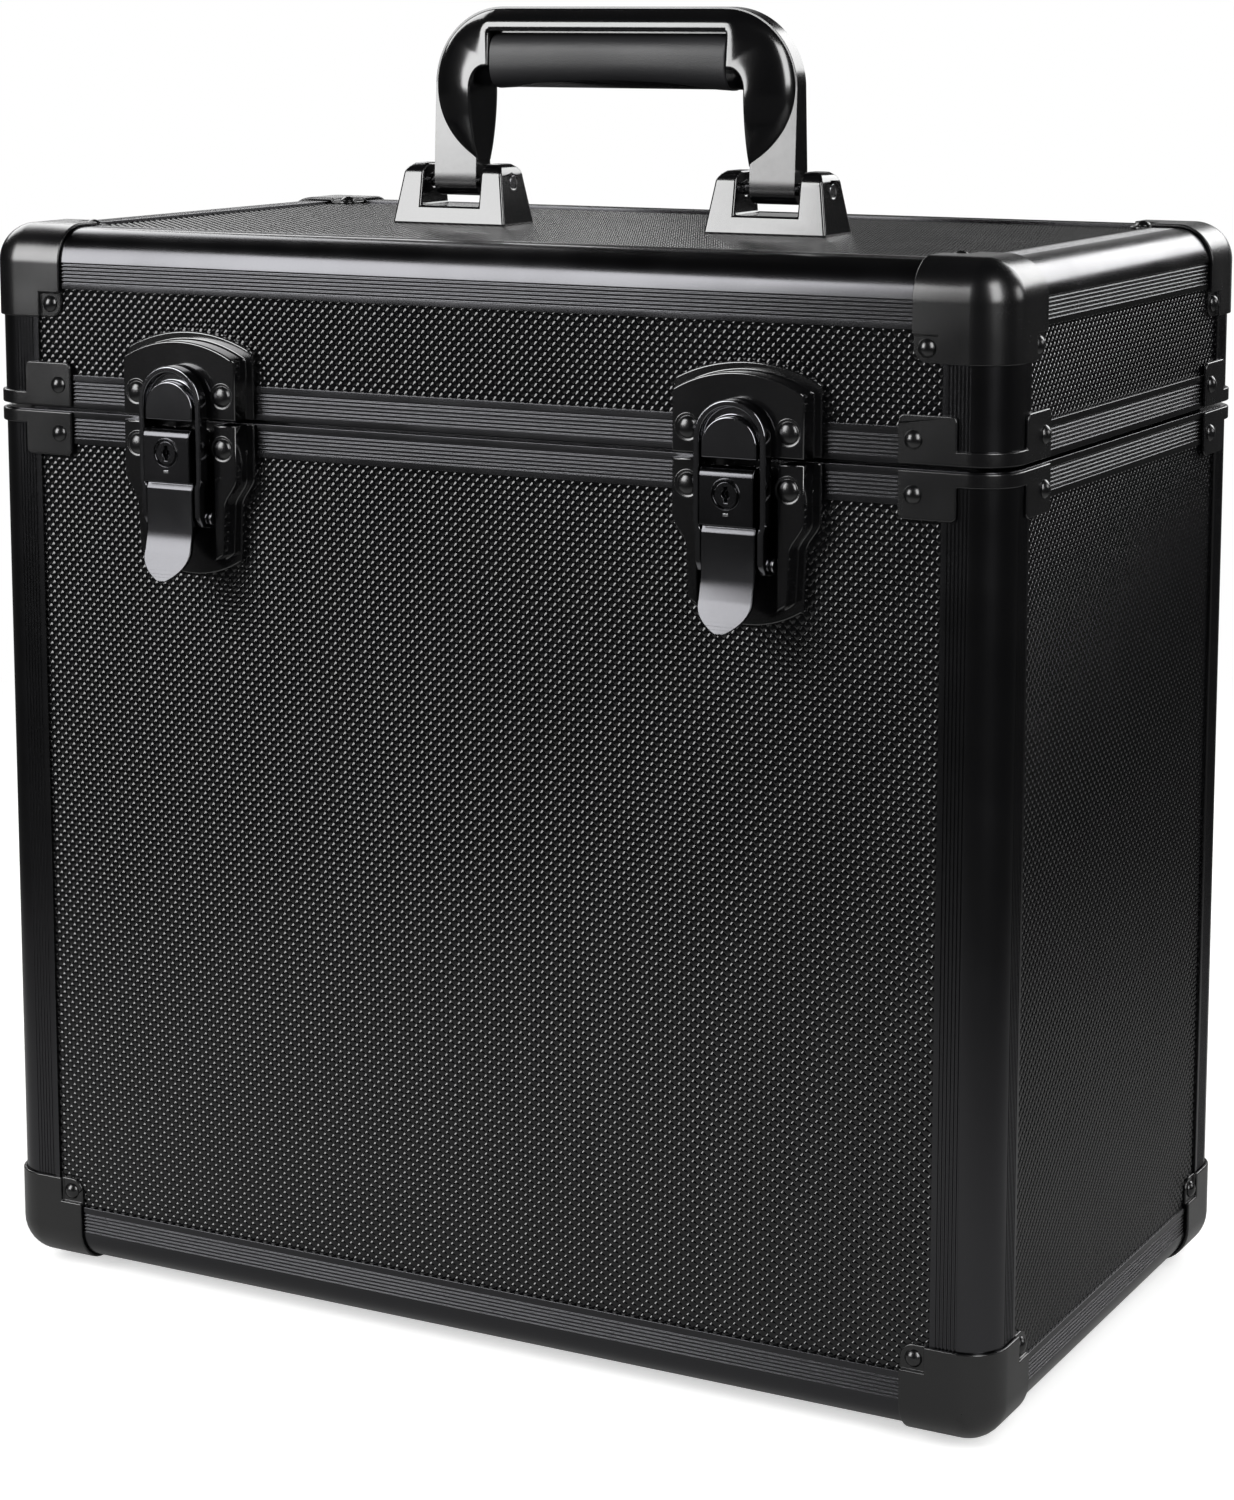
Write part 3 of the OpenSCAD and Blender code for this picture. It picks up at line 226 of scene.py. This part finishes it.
def textured(name, grain_mm, depth_mm, rough, spread, wave_mm=0.0, **shader):
    """A finish with fine noise of grain_mm as bump, depth_mm deep, slow noise that moves the
    roughness by spread round rough, and under both a wave of the sheet itself, wave_mm deep."""
    m, tree, bsdf, mm = material(name, **shader)
    fine = add(tree, "ShaderNodeTexNoise", Vector=mm, Scale=1 / grain_mm, Detail=2.0)
    slow = add(tree, "ShaderNodeTexNoise", Vector=mm, Scale=1 / SMUDGE_MM, Detail=3.0)
    both = maths(tree, "ADD", slow.outputs[0], maths(tree, "MULTIPLY", fine.outputs[0], 0.4))
    broad = add(tree, "ShaderNodeTexNoise", Vector=mm, Scale=1 / WAVE_MM, Detail=0.0)
    wave = add(tree, "ShaderNodeBump", Strength=1.0, Distance=wave_mm * MM, Height=broad.outputs[0])
    bump = add(tree, "ShaderNodeBump", Strength=1.0, Distance=depth_mm * MM,
               Height=fine.outputs[0], Normal=wave.outputs[0])
    level = add(tree, "ShaderNodeMapRange", Value=both, From_Min=0.35, From_Max=1.05,
                To_Min=rough - spread, To_Max=rough + spread)
    tree.links.new(bump.outputs[0], bsdf.inputs["Normal"])
    tree.links.new(level.outputs[0], bsdf.inputs["Roughness"])
    return m


# Embossed ABS film on board: hard, shiny on the crowns of the pattern.
board_skin = textured("embossed_abs_film", 0.5, 0.003, 0.12, 0.03, Base_Color=BLACK, IOR=1.53)
# Extruded aluminium, anodised black: satin, with a fine grain.
anodised = textured("black_anodised_aluminium", 0.4, 0.0006, 0.22, 0.05,
                    Base_Color=rgb("#49494b"), Metallic=1.0)
# Stove enamel on pressed steel: wet gloss with a faint orange peel, on sheet that is never quite flat.
enamel = textured("black_enamel_on_steel", 1.4, 0.002, 0.15, 0.03, 0.12, Base_Color=BLACK,
                  Specular_IOR_Level=0.8, Coat_Weight=0.8, Coat_Roughness=0.06)
# Powder coat on the drawn corner caps and clips: the same black, with a softer shine.
powder_coat = textured("black_powder_coated_steel", 0.9, 0.002, 0.25, 0.04, 0.35, Base_Color=BLACK,
                       Specular_IOR_Level=0.8)
# Black nickel on steel: a dark metal that mirrors the softboxes.
black_nickel = textured("black_nickel_plate", 0.7, 0.001, 0.2, 0.04,
                        Base_Color=rgb("#454547"), Metallic=1.0)
# Black chrome on the bails: the brightest of the blacks.
black_chrome = textured("black_chrome_plate", 0.7, 0.0005, 0.14, 0.03,
                        Base_Color=rgb("#77777a"), Metallic=1.0)
# Gloss ABS of the handle and its brackets, straight from a polished mould.
gloss_abs = textured("polished_black_abs", 2.0, 0.002, 0.17, 0.03, Base_Color=BLACK, IOR=1.53,
                     Specular_IOR_Level=0.9)
# Soft-touch elastomer of the grip: moulded with a fine spark-eroded grain.
elastomer = textured("soft_black_elastomer", 0.45, 0.06, 0.46, 0.05,
                     Base_Color=rgb("#1c1c1e"), Specular_IOR_Level=0.6)
# Foot rubber and the inside's closed-cell foam.
rubber = textured("black_rubber", 0.8, 0.03, 0.62, 0.06, Base_Color=rgb("#0f0f10"))
foam = textured("closed_cell_foam", 0.9, 0.12, 0.85, 0.05,
                Base_Color=rgb("#232326"), Specular_IOR_Level=0.3)
# Bright turned steel of the pins and screws.
bright_steel = textured("bright_turned_steel", 0.3, 0.001, 0.24, 0.05,
                        Base_Color=rgb("#b4b4b6"), Metallic=1.0)
print(len(bpy.data.materials), "materials so far")

# %% [markdown]
# Small radii catch the light on every real edge. The CAD solids have sharp
# ones, so each hard part is copied, its triangles are merged back to flat
# faces, and a bevel of a few tenths of a millimetre is laid on its edges.

# %% Parts with eased edges
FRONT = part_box("body_post_front_left")[0].y / MM      # the frame's front face
SEAM = (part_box("lid_clips")[0].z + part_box("body_clips")[1].z) / 2 / MM
LATCH_X = (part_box("lever_right")[0].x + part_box("lever_right")[1].x) / 2 / MM
RIVET_ASIDE, RIVET_UP = 16.4, 8.4      # from a latch's middle and from the seam to a rivet, in mm
RIVETS = np.array([(s * LATCH_X + t * RIVET_ASIDE, SEAM + up * RIVET_UP)
                   for up in (1, -1) for s in (-1, 1) for t in (-1, 1)])     # (x, z), the lid's first
BODY_OF = {n: b for b, nodes in frame["record"]["behaviour"]["bodies"].items() for n in nodes}
SLOT_OF = {s["node"]: s["material_slot"] for s in frame["record"]["subparts"]}


def show(name, mesh, finish, body, slot, *nodes):
    """Puts a mesh into the scene: it wears finish, rides on body and stands for the CAD nodes."""
    mesh.materials.clear()
    mesh.materials.append(finish)
    made = bpy.data.objects.new(name, mesh)
    bpy.context.scene.collection.objects.link(made)
    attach(made, body)
    if nodes:
        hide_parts(*nodes)
    return made


TIP = 9.0             # the last mm of a lever's tongue, which are drawn in to a round tip
TIP_CUTS = np.array([0, 0.2, 0.4, 0.55, 0.68, 0.78, 0.86, 0.92, 0.97])


def cut_tongue(work, node):
    """Cuts the tongue of a lever across at each of TIP_CUTS, so that it has points to bend."""
    for cut in TIP_CUTS:
        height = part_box(node)[0].z + TIP * (1 - cut) * MM
        bmesh.ops.bisect_plane(work, geom=work.verts[:] + work.edges[:] + work.faces[:],
                               plane_co=(0, 0, height), plane_no=(0, 0, 1))


def round_tongue(mesh, node):
    """Draws the tongue in to half an ellipse: with t from 0 at the first cut to 1 at the tip,
    widths shrink by (1 - t^2)^0.5, to no less than 0.1."""
    lo, hi = (np.array(c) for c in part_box(node))
    co = np.empty(len(mesh.vertices) * 3)
    mesh.vertices.foreach_get("co", co)
    co = co.reshape(-1, 3)
    t = np.clip(1 - (co[:, 2] - lo[2]) / (TIP * MM), 0, 1)
    middle = (lo[0] + hi[0]) / 2
    co[:, 0] = middle + (co[:, 0] - middle) * np.maximum(np.sqrt(1 - t ** 2), 0.1)
    mesh.vertices.foreach_set("co", co.ravel())
    mesh.update()


POCKET = 4.5          # radius round a rivet's axis that takes in its pocket, in mm


def spare_pockets(mesh, corner):
    """Bevel weight 1 on every edge whose two faces meet at over corner degrees. The edges that run
    straight back and those round a rivet's pocket, with both ends within POCKET of its axis, leave
    no room: they stay sharp."""
    co, ends = np.empty(len(mesh.vertices) * 3), np.empty(len(mesh.edges) * 2, int)
    of_loop, loops = np.empty(len(mesh.loops), int), np.empty(len(mesh.polygons), int)
    normal = np.empty(len(mesh.polygons) * 3)
    mesh.vertices.foreach_get("co", co)
    mesh.edges.foreach_get("vertices", ends)
    mesh.loops.foreach_get("edge_index", of_loop)
    mesh.polygons.foreach_get("loop_total", loops)
    mesh.polygons.foreach_get("normal", normal)
    co, ends, normal = co.reshape(-1, 3) / MM, ends.reshape(-1, 2), normal.reshape(-1, 3)
    pair = np.repeat(np.arange(len(loops)), loops)[np.argsort(of_loop, kind="stable")].reshape(-1, 2)
    bent = (normal[pair[:, 0]] * normal[pair[:, 1]]).sum(1) < math.cos(math.radians(corner))
    co = co[:, [0, 2]]
    near = (np.linalg.norm(co[:, None] - RIVETS, axis=2) < POCKET)[ends].all(1).any(1)
    straight_back = np.linalg.norm(co[ends[:, 0]] - co[ends[:, 1]], axis=1) < 0.01
    spared = near | straight_back
    weight = mesh.attributes.new("bevel_weight_edge", "FLOAT", "EDGE")
    weight.data.foreach_set("value", (bent & ~spared).astype(float))
    mesh.edges.foreach_set("use_edge_sharp", bent & spared)


def eased(node, finish, radius, steps=2, corner=35):
    """A copy of a CAD node, merged, with its edges over corner degrees rounded to radius mm."""
    mesh = frame["nodes"][node].data.copy()
    work = bmesh.new()
    work.from_mesh(mesh)
    bmesh.ops.remove_doubles(work, verts=work.verts, dist=2e-6)
    bmesh.ops.dissolve_limit(work, angle_limit=math.radians(0.6), verts=work.verts, edges=work.edges)
    lever, plate = SLOT_OF[node] == "lever_steel", "_plate_" in node
    if lever:
        cut_tongue(work, node)
    work.to_mesh(mesh)
    work.free()
    if lever:
        round_tongue(mesh, node)
    if plate:
        spare_pockets(mesh, corner)
    mesh.shade_smooth()
    made = show(node + "_eased", mesh, finish, BODY_OF[node], SLOT_OF[node], node)
    rounding = made.modifiers.new("edges", "BEVEL")
    rounding.width, rounding.segments = radius * MM, steps
    rounding.limit_method, rounding.angle_limit = "WEIGHT" if plate else "ANGLE", math.radians(corner)
    rounding.use_clamp_overlap = False
    rounding.loop_slide = not plate      # sliding along the plates' flat cuts would push corners out
    flat = made.modifiers.new("flat_faces", "WEIGHTED_NORMAL")
    flat.keep_sharp, flat.weight = True, 50
    return made


EASED = {             # slot: its finish, the radius of its edges in mm, and the steps of the bevel
    "frame_profile": (anodised, 0.16, 2), "corner_steel": (powder_coat, 0.45, 3),
    "latch_steel": (enamel, 0.5, 3), "lever_steel": (black_nickel, 0.35, 2),
    "rivet_steel": (powder_coat, 0.2, 2), "bracket_zinc": (gloss_abs, 0.9, 3),
    "hinge_steel": (black_nickel, 0.25, 2), "lock_steel": (black_nickel, 0.3, 2),
    "bright_steel": (bright_steel, 0.15, 2), "foot_rubber": (rubber, 0.4, 2),
    "lining_foam": (foam, 0.5, 2)}
for n in sorted(frame["nodes"], key=lambda n: SLOT_OF[n] != "frame_profile"):     # the frame first
    if SLOT_OF[n] in EASED:
        finish, radius, steps = EASED[SLOT_OF[n]]
        eased(n, black_chrome if n in ("bail_left", "bail_right") else finish, radius, steps)

# %% [markdown]
# The handle is one polished moulding, and its highlights show how it is
# built up: a flat core runs round the outside and down to the pins, and a
# fuller body lies on it, from which the soft grip is cut out. Both are
# drawn as stations along the handle. Each station is one closed section,
# and neighbouring sections are joined by quads.

# %% The handle's outlines
# All in mm. Heights are above the lid's top panel, which is the deck.
lo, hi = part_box("handle_frame")
DECK, MID_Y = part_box("lid_top_panel")[1].z / MM, (lo.y + hi.y) / 2 / MM
TOP, OUT = hi.z / MM - DECK, hi.x / MM           # crest of the handle, outside of its legs
IN = OUT - 16.6                                  # inside of its legs
ROUND, PIN_Z = 26.0, 14.6                        # radius of the shoulders, height of the pins
SPINE, GRIP_END = 8.0, 44.0                      # thickness over the grip, half the grip's length
CORE, CORNER = 13.0, 10.0        # the core's depth along the top, height of its inner corners
CORE_IN = IN + 0.35              # inside of the core's legs, a little within the body's


def tube(name, finish, body, slot, loops, *nodes):
    """Joins closed sections, an array of stations by points by xyz in mm above the deck, and caps
    both ends."""
    k, n = loops.shape[:2]
    a = (np.arange(k - 1)[:, None] * n + np.arange(n)).ravel()
    b = (np.arange(k - 1)[:, None] * n + (np.arange(n) + 1) % n).ravel()
    quads = np.stack([a, b, b + n, a + n], 1).tolist()
    ends = [list(range(n))[::-1], list(range((k - 1) * n, k * n))]
    mesh = bpy.data.meshes.new(name)
    mesh.from_pydata(((loops.reshape(-1, 3) + [0, MID_Y, DECK]) * MM).tolist(), [], quads + ends)
    work = bmesh.new()
    work.from_mesh(mesh)
    bmesh.ops.remove_doubles(work, verts=work.verts, dist=1e-6)
    bmesh.ops.recalc_face_normals(work, faces=work.faces)
    work.to_mesh(mesh)
    work.free()
    mesh.shade_smooth()
    return show(name, mesh, finish, body, slot, *nodes)


def arc(centre, radii, start, end, n):
    """n points of an ellipse: centre + (rx cos t, rz sin t), t from start to end degrees."""
    t = np.radians(np.linspace(start, end, n))
    return np.array(centre) + np.array(radii) * np.stack([np.cos(t), np.sin(t)], 1)


def line(a, b, n):
    """n points from a to b, both among them."""
    return np.array(a) + (np.array(b) - np.array(a)) * np.linspace(0, 1, n)[:, None]


def edge_round(made, width, angle=50, steps=2):
    """A live bevel on edges over angle degrees, width in mm."""
    rounding = made.modifiers.new("edges", "BEVEL")
    rounding.width, rounding.segments = width * MM, steps
    rounding.limit_method, rounding.angle_limit = "ANGLE", math.radians(angle)
    rounding.harden_normals = True


print("handle", round(TOP, 1), "mm high and", round(2 * OUT, 1), "mm wide")

# %% The handle's core and body
def core_half(z):
    """Half thickness of the core at height z: a half circle of 5 mm round the pin, and above it
    5 - (z - PIN_Z)/20, no less than 3.4 mm."""
    low = np.sqrt(np.clip(25 - np.minimum(z - PIN_Z, 0) ** 2, 0, None))
    return np.where(z < PIN_Z, low, np.clip(5 - (z - PIN_Z) / 20, 3.4, 5))


foot_z = PIN_Z - 5 * np.cos(np.linspace(0, math.pi / 2, 9))
outer = np.vstack([line((0, TOP), (OUT - ROUND, TOP), 4),
                   arc((OUT - ROUND, TOP - ROUND), (ROUND, ROUND), 90, 0, 33)[1:],
                   line((OUT, TOP - ROUND), (OUT, PIN_Z), 12)[1:],
                   np.stack([0 * foot_z + OUT, foot_z], 1)[::-1][1:]])
inner = np.vstack([line((0, TOP - CORE), (GRIP_END, TOP - CORE), 4),
                   arc((GRIP_END, TOP - CORE - CORNER), (CORE_IN - GRIP_END, CORNER), 90, 0, 33)[1:],
                   line((CORE_IN, TOP - CORE - CORNER), (CORE_IN, PIN_Z), 12)[1:],
                   np.stack([0 * foot_z + CORE_IN, foot_z], 1)[::-1][1:]])
out_half = core_half(outer[:, 1])
corners = ((outer, -1), (inner, -1), (inner, 1), (outer, 1))
half = np.stack([np.stack([p[:, 0], side * out_half, p[:, 1]], 1) for p, side in corners], 1)
whole = np.concatenate([half[::-1] * [-1, 1, 1], half[1:]])
core = tube("handle_core", gloss_abs, "handle", "handle_plastic", whole, "handle_frame")
edge_round(core, 0.6)

FULL, LEAN, LAND = 9.5, 0.05, 2.4     # the body's half thickness, its lean, its flat land's width
TAIL = 57.4                           # where the tail's arc ends, in degrees
rim = 0.5                             # the body starts this far inside the core's outline
start = math.degrees(math.acos((GRIP_END - OUT + ROUND) / (ROUND - rim)))
x = np.linspace(0, GRIP_END, 12)
over = np.stack([x, TOP - ROUND + np.sqrt((ROUND - rim) ** 2 - np.maximum(x - OUT + ROUND, 0) ** 2)], 1)
shoulder = arc((OUT - ROUND, TOP - ROUND), (ROUND - rim, ROUND - rim), start, 0, 41)
tail = arc((OUT - rim - 36, TOP - ROUND), (36, -29.7), 0, TAIL, 31)[1:]
tail[-1, 0] = IN
corner = np.vstack([line((GRIP_END, 53), (IN - 5.3, 53), 5),
                    arc((IN - 5.3, 46), (5.3, 7), 90, 0, 37)[1:]])
out_path = np.vstack([shoulder, tail])
in_path = np.vstack([corner, line((IN, 46), (IN, tail[-1, 1]), 31)[1:]])


def distance(points, path):
    """Shortest distance from points to a polyline: each is dropped onto every segment, and the
    least length is kept."""
    ab = path[1:] - path[:-1]
    off = points[..., None, :] - path[:-1]
    t = np.clip((off * ab).sum(-1) / (ab ** 2).sum(-1), 0, 1)
    return np.linalg.norm(off - t[..., None] * ab, axis=-1).min(-1)


def to_middle(sections, n):
    """n points from the last one of each section straight across to the handle's middle plane, y = 0."""
    y = 1 - np.linspace(0, 1, n + 1)[1:]
    return sections[:, -1:] * np.stack([np.ones(n), y, np.ones(n)], 1)


CREST = np.vstack([[(0, TOP - SPINE)], [(GRIP_END, TOP - SPINE)], in_path])
EDGE = np.vstack([over[:-1], out_path])
CREST_ROUND = 0.6


def swollen(out_p, in_p, fullness, upper, lower, side):
    """Half sections of the body between the outer path and the inner one. With a and b the
    distances to the body's edge and to the flat land along its crest and u = a/(a + b), it rises by
    0.3 (1 - e^(-a/1.5)) + 0.7 (1 - (1 - u)^1.6) of its swell, which is LEAN less per mm of height.
    Its crest is rounded by a radius of CREST_ROUND."""
    length = np.linalg.norm(in_p - out_p, axis=1)[:, None]
    first = np.minimum(SPINE, length * 0.5)
    low = 1 - (1 - np.linspace(0, 1, lower + 1)[1:]) ** 1.5
    d = np.concatenate([first * np.linspace(0, 1, upper) ** 1.5, first + (length - first) * low], 1)
    xz = out_p[:, None] + (in_p - out_p)[:, None] * (d / np.maximum(length, 1e-6))[:, :, None]
    a, b = distance(xz, EDGE), distance(xz, CREST)
    slope = np.clip(b - np.interp(xz[..., 1], (42, 53), (0.5, LAND)), 0, None)
    rise = 0.3 * (1 - np.exp(-a / 1.5)) + 0.7 * (1 - (1 - a / np.maximum(a + slope, 1e-6)) ** 1.6)
    h0 = core_half(out_p[:, 1])[:, None] - 0.25
    into = np.clip(CREST_ROUND - b, 0, CREST_ROUND)
    over_crest = CREST_ROUND - np.sqrt(CREST_ROUND ** 2 - into ** 2)
    swell = FULL - LEAN * np.clip(xz[..., 1] - 46, 0, None) - h0
    h = h0 + (swell * rise - over_crest) * fullness[:, None]
    front = np.stack([xz[..., 0], -h, xz[..., 1]], 2)
    return np.concatenate([front, to_middle(front, side)], 1)


UPPER, LOWER, SIDE = 14, 14, 5        # points down to the spine, from there to the crest, and across
thins = np.minimum(1, np.linalg.norm(in_path - out_path, axis=1) / 16) ** 0.8
cheek = swollen(out_path, in_path, np.where(out_path[:, 1] < TOP - ROUND, thins, 1), UPPER, LOWER, SIDE)
under = np.stack([over[:, 0], 0 * over[:, 0] + TOP - SPINE], 1)
lip = swollen(over, over + (under - over) * 2, np.ones(len(over)), UPPER, LOWER, SIDE)[:, :UPPER]
lip[:, -1, 2] = TOP - SPINE
lip = np.concatenate([lip, to_middle(lip, LOWER + SIDE)], 1)
half = np.concatenate([lip, cheek])
full = np.concatenate([half, half[:, :-1][:, ::-1] * [1, -1, 1]], 1)
whole = np.concatenate([full[::-1] * [-1, 1, 1], full[1:]])
body = tube("handle_body", gloss_abs, "handle", "handle_plastic", whole)
edge_round(body, 0.35)
print("handle body of", len(body.data.polygons), "faces")

# %% The soft grip
GRIP_Y, GRIP_Z, POWER = 8.75, 9.2, 2.6      # half sizes of the grip's section, and its squareness
AROUND, ALONG = 72, 41                      # points round a section, sections along the grip


def grip_loop(n):
    """One section of the grip: the superellipse |y/GRIP_Y|^POWER + |z/GRIP_Z|^POWER = 1."""
    t = np.linspace(0, 2 * math.pi, n, endpoint=False)
    c, s = np.cos(t), np.sin(t)
    return np.stack([GRIP_Y * np.sign(c) * np.abs(c) ** (2 / POWER),
                     GRIP_Z * np.sign(s) * np.abs(s) ** (2 / POWER)], 1)


# A bar runs through the grip, from leg to leg.
loop = grip_loop(AROUND)
BAR_Z, BAR_SHARE = 54.2, 0.87               # height of the bar, its size as a share of the grip's
ends = np.array([[-IN - 0.2], [IN + 0.2]])
bar = np.stack([np.repeat(ends, AROUND, 1), np.repeat(loop[None, :, 0] * BAR_SHARE, 2, 0),
                np.repeat(BAR_Z + loop[None, :, 1] * BAR_SHARE, 2, 0)], 2)
tube("handle_bar", gloss_abs, "handle", "handle_plastic", bar)

# The grip lies between the spine and a slightly arched underside. Its end faces have a ring inside.
x = np.concatenate([[-1, -1], np.linspace(-1, 1, ALONG), [1, 1]]) * (GRIP_END - 0.25)
small = np.ones(len(x))
small[[0, -1]] = 0.1
arch = 1.3 * (1 - (x / GRIP_END) ** 2)
bottom, top = 45.8 + arch, TOP - SPINE - 0.25
middle, scale = (top + bottom) / 2, (top - bottom) / 2 / GRIP_Z
section = np.stack([np.broadcast_to(x[:, None], (len(x), AROUND)), loop[None, :, 0] * small[:, None],
                    middle[:, None] + loop[None, :, 1] * (scale * small)[:, None]], 2)
grip = tube("handle_soft_grip", elastomer, "handle", "grip_plastic", section, "handle_grip")
edge_round(grip, 0.4, 60)
print("grip from", round(float(bottom.min()), 1), "to", round(float(top), 1), "mm above the deck")

# %% [markdown]
# The latch plates are pressed round their rivets: each rivet sits in a
# shallow dimple. One profile turned about the rivet's axis gives both.
# Below each lock a small bright bar shows whether it is locked.

# %% Dimples, rivets and lock marks
def turned(profile, centres, n=36):
    """Turns a profile of (radius r, height p over the front face) round each centre (x, z): its
    points are (x + r cos t, FRONT - p, z + r sin t). It closes at radius 0."""
    r, p = np.array(profile).T
    t = np.linspace(0, 2 * math.pi, n, endpoint=False)
    one = np.stack([np.outer(r, np.cos(t)), np.repeat((FRONT - p)[:, None], n, 1),
                    np.outer(r, np.sin(t))], 2).reshape(-1, 3)
    k = (np.arange(len(r) - 1)[:, None] * n + np.arange(n)).ravel()
    nxt = (np.arange(len(r) - 1)[:, None] * n + (np.arange(n) + 1) % n).ravel()
    quads = np.stack([k, nxt, nxt + n, k + n], 1)
    verts = np.concatenate([one + [x, 0, z] for x, z in centres])
    faces = np.concatenate([quads + i * len(one) for i in range(len(centres))])
    mesh = bpy.data.meshes.new("turned")
    mesh.from_pydata((verts * MM).tolist(), [], faces.tolist())
    work = bmesh.new()
    work.from_mesh(mesh)
    bmesh.ops.remove_doubles(work, verts=work.verts, dist=1e-6)
    work.to_mesh(mesh)
    work.free()
    mesh.shade_smooth()
    return mesh


# The dimple's rim and slope in mm, then the rivet's domed head.
DIMPLE = [(4.4, 7.3), (4.42, 7.9), (4.3, 8.02), (4.0, 8.0), (3.7, 7.9), (3.45, 7.82), (3.3, 7.86),
          (3.2, 8.05), (3.0, 8.35), (2.5, 8.75), (1.8, 9.03), (1.0, 9.2), (0, 9.25)]
for spots, owner in ((RIVETS[:4], "lid"), (RIVETS[4:], "case")):
    show("latch_dimples_" + owner, turned(DIMPLE, spots), powder_coat, owner, "rivet_steel")
MARK_BACK, MARK_FRONT = 15.3, 15.72         # the mark's two faces, in mm over the front face
MARK_DROP, MARK_X, MARK_Z = 15.7, 0.9, 0.45       # its distance below the seam and its half sizes
for s, side in ((-1, "left"), (1, "right")):
    around = [(-MARK_X, -MARK_Z), (MARK_X, -MARK_Z), (MARK_X, MARK_Z), (-MARK_X, MARK_Z)]
    bar = np.array([(s * LATCH_X + a, FRONT - p, SEAM - MARK_DROP + b)
                    for p in (MARK_BACK, MARK_FRONT) for a, b in around])
    faces = [(4, 5, 6, 7), (0, 3, 2, 1), (0, 1, 5, 4), (1, 2, 6, 5), (2, 3, 7, 6), (3, 0, 4, 7)]
    mesh = bpy.data.meshes.new("lock_mark")
    mesh.from_pydata((bar * MM).tolist(), [], faces)
    mark = show("lock_mark_" + side, mesh, bright_steel, "lever_" + side, "bright_steel")
    edge_round(mark, 0.12)
print("front face at", round(FRONT, 2), "seam at", round(SEAM, 1), "latches at", round(LATCH_X, 1))

# %% [markdown]
# The boards carry an embossed film: a lattice of small blunt pyramids that
# stand on their corners. Bump would do from afar, but the glints on the
# real film come from true slopes, so the pyramids are built. Each has only
# five faces. Its corner normals are given: upright round the top and
# leaning outwards at the foot, so that it shines like a rounded one.

# %% Embossed boards
CELL = 1.6 * MM      # half of a diamond's diagonal
CROWN = 0.4 * MM     # height of a pyramid
BLUNT = 0.3          # share of the diamond that its flat top takes
FOOT_LEAN = math.radians(36)   # how far the normals at a foot corner lean outwards


def embossed(node, out, hidden):
    """A board with pyramids on its outer face, save for the strips of its edges that are hidden,
    in mm. Lattice point (i, j) lies at (i, j)*CELL; points with an even sum carry a pyramid, whose
    foot is the four odd neighbours and whose top is BLUNT times as wide. The normals lean by
    FOOT_LEAN towards each foot corner and stand upright at the top's corners."""
    lo, hi = (np.array(c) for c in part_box(node))
    axis = "xyz".index(out[1])
    face = (hi if out[0] == "+" else lo)[axis]
    sign = 1 if out[0] == "+" else -1
    a, b = [k for k in range(3) if k != axis]
    start = np.array([lo[a] + hidden[0] * MM, lo[b] + hidden[2] * MM])
    count = ((np.array([hi[a] - hidden[1] * MM, hi[b] - hidden[3] * MM]) - start) / CELL).astype(int) - 1
    i, j = np.meshgrid(np.arange(1, count[0] + 1), np.arange(1, count[1] + 1), indexing="ij")
    on = (i + j) % 2 == 0
    centre = np.stack([i[on], j[on]], 1)
    ring = np.array([[-1, 0], [0, -1], [1, 0], [0, 1]])
    foot, top = centre[:, None] + ring, centre[:, None] + BLUNT * ring
    plane = np.concatenate([foot.reshape(-1, 2), top.reshape(-1, 2)]) * CELL + start
    foot_id = np.arange(len(centre) * 4).reshape(-1, 4)
    top_id = foot_id + len(centre) * 4
    verts = np.empty((len(plane), 3))
    verts[:, a], verts[:, b] = plane.T
    verts[:, axis] = face + sign * CROWN * (np.arange(len(plane)) >= len(plane) // 2)
    pair = [(k, (k + 1) % 4) for k in range(4)]
    slopes = [np.stack([foot_id[:, k], foot_id[:, m], top_id[:, m], top_id[:, k]], 1) for k, m in pair]
    quads = np.concatenate([top_id] + slopes)
    upright = np.eye(3)[axis] * sign
    leaning = np.tile(upright * math.cos(FOOT_LEAN), (4, 1))
    leaning[:, [a, b]] = ring * math.sin(FOOT_LEAN)
    normals = np.concatenate([np.tile(leaning, (len(centre), 1)),
                              np.tile(upright, (len(centre) * 4, 1))])
    box = np.array([(x, y, z) for x in (lo[0], hi[0]) for y in (lo[1], hi[1]) for z in (lo[2], hi[2])])
    sides = len(verts) + np.array([[0, 1, 3, 2], [4, 6, 7, 5], [0, 4, 5, 1],
                                   [2, 3, 7, 6], [0, 2, 6, 4], [1, 5, 7, 3]])
    if (sign > 0) == (axis == 1):
        quads = quads[:, ::-1]
    mesh = bpy.data.meshes.new(node + "_board")
    mesh.from_pydata(np.concatenate([verts, box]).tolist(), [], np.concatenate([quads, sides]).tolist())
    mesh.polygons.foreach_set("use_smooth", np.arange(len(quads) + 6) < len(quads))
    mesh.normals_split_custom_set(np.concatenate([normals[quads.ravel()], np.zeros((24, 3))]))
    return show(node + "_board", mesh, board_skin, BODY_OF[node], SLOT_OF[node], node), len(centre)


LIP, RIM = 6.4, 8.0   # how far the frame's lips and the rims cover a board's edge
UP = {"front": "-y", "right": "+x", "rear": "+y", "left": "-x"}
pyramids = 0
for side, out in UP.items():
    pyramids += embossed(side + "_panel", out, (LIP, LIP, LIP, RIM))[1]
    pyramids += embossed("lid_" + side + "_panel", out, (LIP, LIP, RIM, LIP))[1]
pyramids += embossed("bottom_panel", "-z", (LIP,) * 4)[1]
pyramids += embossed("lid_top_panel", "+z", (LIP,) * 4)[1]
print(pyramids, "pyramids on ten boards")
